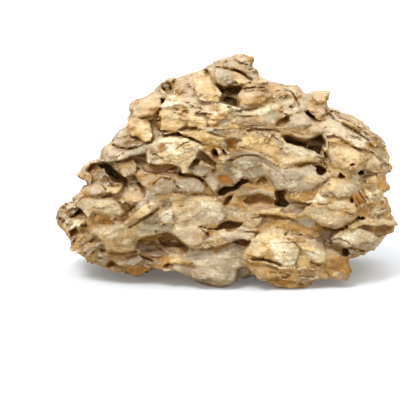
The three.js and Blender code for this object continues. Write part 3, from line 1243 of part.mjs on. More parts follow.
// Collapses edges, those that change the shape least first, until few enough triangles are left.
function simplify({ points, faces }, wanted) {
  const around = points.map(() => new Set());
  faces.forEach((face, f) => face.forEach((p) => around[p].add(f)));
  const quadrics = points.map(() => new Float64Array(10));
  const normalOf = (a, b, c) => b.clone().sub(a).cross(c.clone().sub(a));
  for (const face of faces) {
    const corners = face.map((p) => points[p]);
    const normal = normalOf(...corners);
    const area = normal.length() / 2;
    normal.normalize();
    const { x, y, z } = normal;
    const w = -normal.dot(corners[0]);
    const plane = [x * x, x * y, x * z, x * w, y * y, y * z, y * w, z * z, z * w, w * w];
    for (const p of face) plane.forEach((value, n) => (quadrics[p][n] += value * area));
  }
  const error = (q, { x, y, z }) =>
    q[0] * x * x + 2 * q[1] * x * y + 2 * q[2] * x * z + 2 * q[3] * x + q[4] * y * y +
    2 * q[5] * y * z + 2 * q[6] * y + q[7] * z * z + 2 * q[8] * z + q[9];
  const best = (a, b) => {
    const q = quadrics[a].map((value, n) => value + quadrics[b][n]);
    const middle = points[a].clone().add(points[b]).multiplyScalar(0.5);
    const choices = [middle, points[a], points[b]];
    const matrix = new THREE.Matrix3().set(q[0], q[1], q[2], q[1], q[4], q[5], q[2], q[5], q[7]);
    if (Math.abs(matrix.determinant()) > 1) {
      const solved = new THREE.Vector3(-q[3], -q[6], -q[8]).applyMatrix3(matrix.invert());
      if (solved.distanceTo(middle) < 2 * points[a].distanceTo(points[b])) choices.push(solved);
    }
    const costs = choices.map((point) => error(q, point));
    const pick = costs.indexOf(Math.min(...costs));
    const cost = costs[pick] + EDGE_COST * points[a].distanceToSquared(points[b]);
    return { point: choices[pick].clone(), cost };
  };

  const stamp = new Int32Array(points.length);
  const heap = new Heap();
  const offer = (a, b) => heap.push({ a, b, at: stamp[a], bt: stamp[b], ...best(a, b) });
  faces.forEach(([a, b, c]) => {
    if (a < b) offer(a, b);
    if (b < c) offer(b, c);
    if (c < a) offer(c, a);
  });
  const neighbours = (p) => new Set([...around[p]].flatMap((f) => faces[f]).filter((q) => q !== p));
  const flips = (p, other, to) => [...around[p]].some((f) => {
    if (faces[f].includes(other)) return false;
    const before = normalOf(...faces[f].map((q) => points[q]));
    const after = normalOf(...faces[f].map((q) => (q === p ? to : points[q])));
    return after.dot(before) < 0.25 * after.length() * before.length() || after.length() < 0.3;
  });

  let left = faces.length;
  while (left > wanted && heap.items.length) {
    const { a, b, at, bt, point } = heap.pop();
    if (at !== stamp[a] || bt !== stamp[b]) continue;
    const near = neighbours(a);
    const shared = [...neighbours(b)].filter((q) => near.has(q));
    if (shared.length !== 2 || flips(a, b, point) || flips(b, a, point)) continue;
    points[a] = point;
    quadrics[b].forEach((value, n) => (quadrics[a][n] += value));
    for (const f of [...around[b]]) {
      if (faces[f].includes(a)) {
        faces[f].forEach((p) => around[p].delete(f));
        faces[f] = null;
        left--;
      } else {
        faces[f] = faces[f].map((p) => (p === b ? a : p));
        around[a].add(f);
      }
    }
    around[b].clear();
    stamp[b]++;
    stamp[a]++;
    neighbours(a).forEach((q) => offer(a, q));
  }
  return { points, faces: faces.filter(Boolean) };
}

// A closed indexed surface as a manifold solid.
function solidOf(wasm, { points, faces }) {
  const renamed = new Map();
  const kept = [];
  const triVerts = new Uint32Array(faces.flat().map((p) => {
    if (!renamed.has(p)) renamed.set(p, kept.push(points[p]) - 1);
    return renamed.get(p);
  }));
  const vertProperties = new Float32Array(kept.flatMap((point) => point.toArray()));
  return new wasm.Manifold(new wasm.Mesh({ numProp: 3, vertProperties, triVerts }));
}

// Everything below the floor, as a block. Cutting it away leaves a small flat on each foot.
function belowFloor(wasm) {
  const depth = 40;
  const block = new THREE.BoxGeometry(2 * LENGTH, 2 * LENGTH, depth);
  const position = block.getAttribute("position");
  const points = [];
  const names = new Map();
  const corner = (i) => {
    const point = new THREE.Vector3().fromBufferAttribute(position, i);
    const name = point.toArray().join();
    if (!names.has(name)) {
      names.set(name, points.length);
      points.push(point.setZ(point.z - depth / 2));
    }
    return names.get(name);
  };
  const index = [...block.index.array].map(corner);
  const faces = [];
  for (let i = 0; i < index.length; i += 3) faces.push(index.slice(i, i + 3));
  return solidOf(wasm, { points, faces });
}

function geometryOf(solid) {
  const { numProp, numVert, vertProperties, triVerts } = solid.getMesh();
  const position = new Float32Array(numVert * 3);
  for (let i = 0; i < numVert; i++) {
    position.set(vertProperties.subarray(i * numProp, i * numProp + 3), i * 3);
  }
  return new THREE.BufferGeometry()
    .setAttribute("position", new THREE.BufferAttribute(position, 3))
    .setIndex(new THREE.BufferAttribute(triVerts, 1));
}

const wasm = await Module();
wasm.setup();

const [halfLength, halfDepth] = [LENGTH / 2 + MARGIN, BACK_REACH + 4 * MARGIN];
const room = new THREE.Box3(
  new THREE.Vector3(-halfLength, -halfDepth, -MARGIN),
  new THREE.Vector3(halfLength, halfDepth, HEIGHT + MARGIN),
);
const rough = largestShell(surfaceOf(stone, room, CELL));
const whole = solidOf(wasm, simplify(rough, TRIANGLES));
const standing = whole.subtract(belowFloor(wasm));

const stoneMesh = new THREE.Mesh(
  geometryOf(standing),
  new THREE.MeshStandardMaterial({ color: 0xb99b6b, roughness: 0.95, metalness: 0, flatShading: true }),
);
stoneMesh.name = "dragon_stone";

const dragonStone = new THREE.Group();
dragonStone.add(stoneMesh);
export default dragonStone;
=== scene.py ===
"""The dragon stone: a block of fossil clay, weathered into plates, ledges, caves and holes.

The stone is one function of space, negative inside it, as in the part's source: a cushion with the
stone's outline, drawn plates and hollows on its front, and layered scales elsewhere. Here the same
function gets finer layers, pits and crumbs, and its zero surface becomes the mesh that is shown.
Lengths are in millimetres up to the mesh, which is in metres like the frame.
"""

import math
from concurrent.futures import ThreadPoolExecutor

import bpy
import numpy as np
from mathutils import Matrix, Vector


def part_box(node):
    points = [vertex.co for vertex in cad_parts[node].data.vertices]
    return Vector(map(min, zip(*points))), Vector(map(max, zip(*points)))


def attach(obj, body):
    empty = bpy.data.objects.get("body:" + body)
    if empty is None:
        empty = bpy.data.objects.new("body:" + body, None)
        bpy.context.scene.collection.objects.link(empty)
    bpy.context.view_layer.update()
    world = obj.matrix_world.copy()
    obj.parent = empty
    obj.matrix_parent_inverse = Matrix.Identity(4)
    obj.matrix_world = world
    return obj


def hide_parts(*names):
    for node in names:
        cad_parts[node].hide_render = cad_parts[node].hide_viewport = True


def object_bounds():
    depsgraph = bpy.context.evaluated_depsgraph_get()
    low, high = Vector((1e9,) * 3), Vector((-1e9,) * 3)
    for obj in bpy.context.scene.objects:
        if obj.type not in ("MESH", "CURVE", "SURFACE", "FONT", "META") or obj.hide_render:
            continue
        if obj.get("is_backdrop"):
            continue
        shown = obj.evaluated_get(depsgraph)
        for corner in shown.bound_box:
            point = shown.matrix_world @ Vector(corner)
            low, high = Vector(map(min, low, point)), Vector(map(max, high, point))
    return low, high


NODE = "dragon_stone"
MM = 0.001

# The cushion, as in the part's source
FRONT_REACH = 68  # how far it bulges to the front of its middle surface
BACK_REACH = 78  # and to the back
RIM = 88  # how far in from its rim it keeps thickening
FRONT_FULLNESS = 2  # exponent of its section: 2 is round, less is more pointed
BACK_FULLNESS = 1.6
MIDDLE_Y = -7.5  # place of the middle surface
LEAN_BACK = 0.12  # how far the middle surface leans back for each millimetre up
LEAN_LEVEL = 70  # and the height where it is in its place
RIM_ROUNDING = 7
LARGEST_EXPONENT = 60  # keeps the sum that rounds the rim off finite
FRONT_SHRINK = 9  # how much smaller the outline is at the very front
LOW_SHRINK = 2  # the same near the floor
SHRINK_LEVELS = (20, 80)  # the low shrink ends and the full one begins at these heights
BACK_SHRINK = 30  # and at the very back

# The plane that the outline and the plates are drawn on, seen from in front and a little above
VIEW_ELEVATION = math.radians(12)
NEAR_FOOT_Y = -81.5

# Relief
UNDERCUT = 0.15  # how far a plate's edge slopes back under it, for each millimetre of depth
POCKET = -5  # a plate this deep is a pocket under the one above
HOLE = -19  # and one this deep is a hole
POCKET_ROOF = 1.3  # depth of a pocket under its upper lip, as a share of its reach
POCKET_FOOT = 2.5  # how far its foot stands out
POCKET_CURVE = 1.7
POCKET_TEXTURE = 0.6
EDGE = 0.8  # half the width of the step at a plate's edge
ROUNDING = 5  # how far in from its edge a plate's crown mostly rises
CRACK_WIDTH = 0.8  # half the width of a crack with no depth
CRACK_SPREAD = 0.1  # and how much wider it is for each millimetre of depth
LINE_WANDER = 0.5  # how much of the wander of the plates' edges the outline and the cracks share
BEDDING_ARCH = 0.0026  # the bedding is an arch: its slope for each millimetre from the middle
BEDDING_DIP = 0.12  # its rise towards the front
# Noise: (size of its bumps, height, seed)
SWELL = (70, 1, 1)  # of the cushion's thickness
FRONT_SWELL = 0.12  # how much of it the front shows
BACK_SWELL = 0.3
BEND = (90, 14, 2)  # of the middle surface
LONG_WAVE = (55, 7, 3)  # of the bedding
SHORT_WAVE = (21, 2.5, 4)
LUMPS = (34, 3.5, 5)  # of the ground
LUMPS_FLATNESS = 2  # how much thinner they are across the bedding
LUMPS_ON_PLATES = 0.3
RAGGED_ACROSS = ((11, 1.8, 6), (4.5, 0.72, 7))  # of the plates' edges
RAGGED_UP = ((11, 1.08, 8), (4.5, 0.54, 9))
FOOT_UNEVEN = (20, 7, 13)
GAP_UNEVEN = (28, 7, 10)
# The fine relief, with noise given the same way
WANDER = (7, 2.2, 28)  # of the edges of flakes and chips
FLAKE_WANDER = 0.5  # how much of it moves the flakes across the bedding
CHIP_WANDER = (0.5, 0.3)  # and the chips along and across it
PATCHES = (24, 1, 21)  # of where the surface is coarser
PATCH_RANGE = (-0.1, 0.5)
CREST = 1.3  # height of the crests between the scoops
SCOOPS = (17, 3.4, 26)
SCOOP_FLATNESS = 1.4
SMALL_SCOOPS = (6, 1.2, 27)
TERRACES = (26, 7, 29)
TERRACE_FLATNESS = 1.6
TERRACE_RIPPLE = (6, 1.4, 30)
TERRACE_STEP = 2.2
TERRACE_SLOPE = (0.38, 0.62)  # the part of each step in which it rises
CRUMBS = (3.2, 0.3, 23)
SMOOTH_TERRACES = 0.5  # what is left of the terraces outside the coarser patches
SMOOTH_CHIPS = 0.4  # and of the chips
# How the relief ends at the outline and the underside
RIM_CALM = 0.7  # how much of the relief goes at the rim of the cushion
CALM_FROM_RIM = (14, 0)
CALM_FROM_MIDDLE = (25, 5)
EDGE_RELIEF = 0.6  # how much of the relief moves the outline where it shrinks
EDGE_RELIEF_SHRINK = (1, 8)
OUTLINE_GROWTH = 1
EDGE_FINE = 0.6  # how much of the fine relief moves the outline
UNDERSIDE_FINE = 0.7  # and the underside
EDGE_BLEND = 2
UNDERSIDE_BLEND = 6
# Layered scales: (size of a cell along x, y and the bedding, reach, lean, hollow, seed)
LOBES = ((84, 60, 56), 8, 0.05, -14, 14)
LEDGES = ((58, 50, 19), 7, 0.15, 5, 11)
SCALES = ((26, 24, 9), 2.4, 0.12, 3.5, 12)
FLAKES = ((14, 12, 5), 1.5, 0.3, 1.8, 15)
CHIPS = ((6.5, 6, 2.4), 0.5, 0.25, 0.7, 16)
# How much of the ledges and scales shows on the drawn plates
LEDGES_ON_PLATES = 0.15
SCALES_ON_PLATES = 0.6
MEAN_OFFSET = 0.45

# The plates and pockets of the back, the ends and the top, which a loop strews over each side:
# (reach, lean, crown, size in cells, tone)
KINDS = (
    (7, 0.12, 3, 1, "cream"), (4, 0.1, 2, 0.9, "pale"), (9, 0.15, 2, 0.8, "white"),
    (2, 0.1, 4, 1, "tan"), (-4, 0.1, 2, 0.9, "ochre"), (5, 0.2, 2, 0.7, "grey"),
    # the deepest pockets are coloured with painted shade
    (-9, 0, 0, 0.8, "rust"), (-12, 0, -2, 0.65, "amber"), (-24, 0, 0, 0.4, "dark"),
)
STREWN_CELL = (40, 20)
CORNERS = 9
BLOB_RADIUS = (0.4, 0.5)  # smallest radius of a corner and what chance adds to it, in cells
BLOB_TILT = 0.6
BLOB_SHIFT = 0.6  # how far it is moved from its place in the rows, in cells
ROW_SHIFT = 0.5  # how far every second row is moved, in cells
# Each side: (the way it faces, the lines on it that point across and up, its low and its high corner
# along them, seed)
SIDES = (
    ((0, 1, 0), (-0.97, 0, 0.24), (0.24, 0, 0.97), (-150, -40), (200, 230), 51),
    ((-1, 0, 0), (0, -0.9, 0.44), (0, 0.44, 0.9), (-80, -40), (140, 180), 52),
    ((1, 0, 0), (0, 0.9, -0.44), (0, 0.44, 0.9), (-140, -40), (90, 180), 53),
    ((0, 0, 1), (0.9, 0.44, 0), (-0.44, 0.9, 0), (-120, -90), (140, 110), 54),
)
HALF_SIZES = (150, 75, 105)
MIDDLE_LEVEL = 80
SIDE_FADE = (0.5, 0.75)  # a side begins and is whole where the surface faces its way this much
BACK_FADE = (-25, 10)  # the strewn plates begin and are whole this far behind the middle
FRONT_FADE = (14, -6)  # and the drawn ones

# The underside: (x, y, radius) of each foot
FEET = ((56, -57, 32), (-8, -59, 20), (-78, -25, 19), (-26, 42, 28), (68, 34, 24))
UNDERSIDE_GAP = 8  # how high the underside is between the feet
FOOT_LEVEL = -4  # the feet run on below the floor, which cuts them flat
FOOT_CORE = 0.4  # the share of its radius in which a foot is at its level

# The hash that makes the noise, as in the part's source
AXIS_FACTORS = (374761393, 668265263, 1442695041)
SEED_FACTOR = 974711
SCRAMBLE_FACTORS = (1274126177, 461845907)
WORD = 4294967296
CELL_SEED_STEP = 31
CELL_INSET = 0.15  # a cell's middle stays this far from its lattice corners, in cells
CELL_PLAY = 0.7  # and lies anywhere over this distance

# The mesh
STEP = 1.15
STRIDE = 4  # lattice steps of the rough first pass
MARGIN = 6  # how far the lattice goes past the CAD box
SMOOTHING = 0.15
SHARP_ANGLE = math.radians(50)
FACES = 190_000
# How far off the surface the shelter of each point is measured, near and wide, and how far under it
NEAR_REACH = 2.2
WIDE_REACH = 9
UNDER_REACH = 2

# The photograph: the camera's distance and aim, and the width that its picture covers there
CAMERA_DISTANCE = 2.4
CAMERA_AIM = Vector((-0.0238, MIDDLE_Y * MM, 0.0632))
PICTURE_WIDTH = 0.3529
SENSOR = 36
CLIP_END = 20

# The studio. Each sun: (name, the way to it, its width in degrees, strength)
SUNS = (("key", (-0.45, -0.65, 1.1), 24, 1.85), ("top", (0.35, 0.35, 1.0), 50, 0.7))
ROOM_LIGHT = 1.0
BACKDROP_LIGHT = 1.0
WHITE = (1, 1, 1, 1)
FLOOR_SIZE = 12
FLOOR_COLOUR = (0.76, 0.81, 0.86, 1)
FLOOR_ROUGHNESS = 0.9
FLOOR_GLOW = 0.1  # the floor is a lit table, so shadows on it stay pale

# Two colours of each kind of surface, which mottle into each other, as sRGB
TONES = {
    "white": ((252, 243, 224), (222, 196, 156)),
    "cream": ((234, 206, 160), (190, 152, 98)),
    "pale": ((212, 192, 162), (182, 154, 114)),
    "tan": ((210, 174, 122), (166, 126, 74)),
    "ochre": ((192, 150, 92), (146, 104, 52)),
    "amber": ((212, 158, 80), (162, 106, 36)),
    "rust": ((172, 120, 58), (126, 82, 34)),
    "brown": ((144, 102, 50), (98, 64, 26)),
    # painted shade: the dark brown of the deepest holes and crevices, where no light reaches
    "dark": ((118, 80, 34), (82, 54, 20)),
    "taupe": ((180, 152, 114), (142, 112, 72)),
    "grey": ((180, 166, 146), (144, 127, 104)),
    "lilac": ((194, 179, 162), (162, 143, 124)),
    "rubble": ((180, 146, 100), (106, 78, 42)),
}
# How rough each kind is, where it isn't 1
ROUGHNESS = {
    "lilac": 0.35, "grey": 0.6, "pale": 0.45, "white": 0.7, "cream": 0.8, "tan": 0.75,
    "amber": 0.5, "rubble": 1.8,
}
# The painted shadow along the drawn plates' edges: dark under each plate's lower edge, faint along its upper
# edge
EDGE_SHADOW_WIDTH = 1.3
EDGE_SHADOW_ABOVE = 0.1  # how dark the painted shadow is along a plate's upper edge
EDGE_SHADOW_TURN = (-5, 5)  # the painted shadow darkens from this far above the plate's middle to this far below it
CRACK_SHADE = (0, 2)  # depth where a crack begins to get painted shade and where it is wholly shaded
SCALE_SHARE = 0.55  # how much of the ground's colour comes from the scales, not the ledges
TONE_KEY = np.uint32(0x5BD1E995)
MOTTLES = ((17, 1, 31), (6, 0.6, 32))
MOTTLE_FLATNESS = 1.5
FINE_MOTTLE = (2.4, 0.25, 33)
MOTTLE_RANGE = (-0.2, 0.55)
# The kinds of the scales that no plate covers
GROUND_TONES = ("cream", "tan", "pale", "ochre", "tan", "grey", "taupe", "cream")

# Stains over those colours, first to last: (colour, pattern, the pattern's range, strength). A pattern
# is (size of its bumps in metres, detail, roughness, stretch).
STAINS = (
    ((178, 168, 154), (0.026, 3, 0.5, (1, 1, 1.7)), (0.5, 0.62), 0.55),
    ((186, 138, 56), (0.014, 3), (0.56, 0.72), 0.5),
    ((246, 236, 214), (0.012, 4, 0.55, (1, 1, 1.8)), (0.54, 0.68), 0.42),
)
GRAIN = (0.003, 4, 0.6, (1, 1, 1.8))
GRAIN_RANGE = (0.3, 0.7)
GRAIN_LIGHT = (0.82, 1.14)
CLAY_FILTER = (0.86, 0.812, 0.668, 1)
# Hairlines, where a pattern crosses its middle value: (pattern, half width of the line)
HAIRLINES = (((0.014, 5, 0.6, (1, 1, 2)), 0.012), ((0.006, 5, 0.6, (1, 1, 2)), 0.02))
HAIRLINE_COLOUR = (114, 86, 46)
HAIRLINE_STRENGTH = 0.6
SPECKS = ((122, 86, 40), (0.0024, 3), (0.6, 0.7), 0.35)
# Colours by place, all painted light and shade: (colour, stored value, its range, strength)
LIT_TOP = ((236, 220, 192), "upward", (0.35, 0.9), 0.3)
# painted shade on faces that look down
UNDERSIDE_SHADE = ((162, 122, 56), "upward", (0.0, -0.6), 0.2)
# warm painted shade where the surface is sheltered, and darker painted shade deep in the shelter
SHELTER_WARM_SHADE = ((172, 134, 70), "shelter", (0.05, 0.4), 0.42)
SHADE = ((140, 90, 26), "shelter", (0.4, 0.95), 0.65)
# And by place: painted edge shadow and painted crease shade, broken up by a pattern, and pale ridges, partly
# worn and partly painted highlight
EDGE_SHADOW_COLOUR = (106, 70, 22)
EDGE_SHADOW_PATTERN = ((0.007, 3), (0.38, 0.56), (0.1, 0.95))
# pale on the ridges: partly worn edges, partly painted highlight
WORN_HIGHLIGHT_COLOUR = (250, 242, 222)
WORN_HIGHLIGHT_RANGE = (0.3, 0.7)
WORN_HIGHLIGHT_STRENGTH = 0.24
# painted shade in the creases
CREASE_SHADE_COLOUR = (106, 68, 16)
CREASE_SHADE_PATTERN = ((0.004, 3), (0.3, 0.7), (0.5, 1.0))
CREASE_SHADE_RANGE = (0.15, 0.6)
CREASE_SHADE_STRENGTH = 0.75
BUMP_PATTERN = (0.0016, 3, 0.6)
BUMP_STRENGTH = 0.7
BUMP_HEIGHT = 0.0006
CLAY_ROUGHNESS = 0.88
CLAY_SPECULAR = 0.25

TOP_OUTLINE = [
    (-149, 57), (-148, 66), (-145, 71), (-139, 74), (-133, 75), (-134, 78), (-128, 83), (-125, 88),
    (-121, 91), (-124, 95), (-130, 99), (-131.5, 101), (-130, 105), (-122, 110), (-111, 113),
    (-109, 120), (-107, 124), (-101, 127), (-98, 131), (-93, 137), (-87, 139.5), (-86, 144),
    (-85.5, 150), (-83, 152), (-85, 157), (-84, 161), (-80, 164), (-73, 165.5), (-67, 168),
    (-63, 171), (-58, 177), (-52, 182), (-47, 183.5), (-43, 182.5), (-37, 185.5), (-32, 187.5),
    (-27, 187.5), (-20, 191), (-13, 195), (-5, 199), (3, 201), (8, 203), (13, 204.5), (17, 203),
    (21.5, 202), (21, 193), (25.5, 190), (25, 187), (30, 183), (33, 181), (38, 179.5), (44, 179),
    (50, 177), (60, 176), (65, 172), (70, 169), (77, 171), (83, 172), (88.5, 171), (87, 166),
    (86.5, 160), (88, 157), (93, 156), (100, 153), (106, 151), (112, 148), (118, 144), (124, 138),
    (130, 134), (135, 129), (137, 125), (140, 122), (143, 118), (141.5, 113), (141, 109),
    (145.5, 105), (141, 102), (138, 100), (138, 95), (143, 89), (138, 86), (135.5, 81), (139, 77),
    (142, 70), (142.5, 65), (147, 60), (149.5, 53),
]
BOTTOM_OUTLINE = [
    (148, 50), (141, 48.5), (137, 45), (134, 41), (129, 36), (125, 33), (118, 30.5), (110, 28),
    (105, 27.5), (104, 22), (107, 16.5), (103, 10), (101, 6.5), (97, 7), (91, 9), (86, 5), (82, 2),
    (78, 0), (70, 0.5), (57, 0), (45, 0.5), (35, 1.5), (29, 4), (25, 8), (23, 11.5), (12, 11),
    (8, 8), (2, 3.5), (-4, 1.5), (-12, 2), (-20, 4), (-30, 7.5), (-38, 12), (-44, 15), (-52, 16),
    (-65, 17), (-72, 14), (-79, 10.5), (-87, 15), (-97, 16.5), (-105, 18), (-112, 22), (-124, 29),
    (-131, 33), (-136, 35), (-136, 43), (-139, 47), (-143, 50), (-147, 54),
]
CUSHION_RIM = [
    (-156, 56), (-136, 100), (-90, 164), (-30, 198), (14, 214), (88, 182), (142, 130), (156, 52),
    (140, -90), (-140, -90),
]

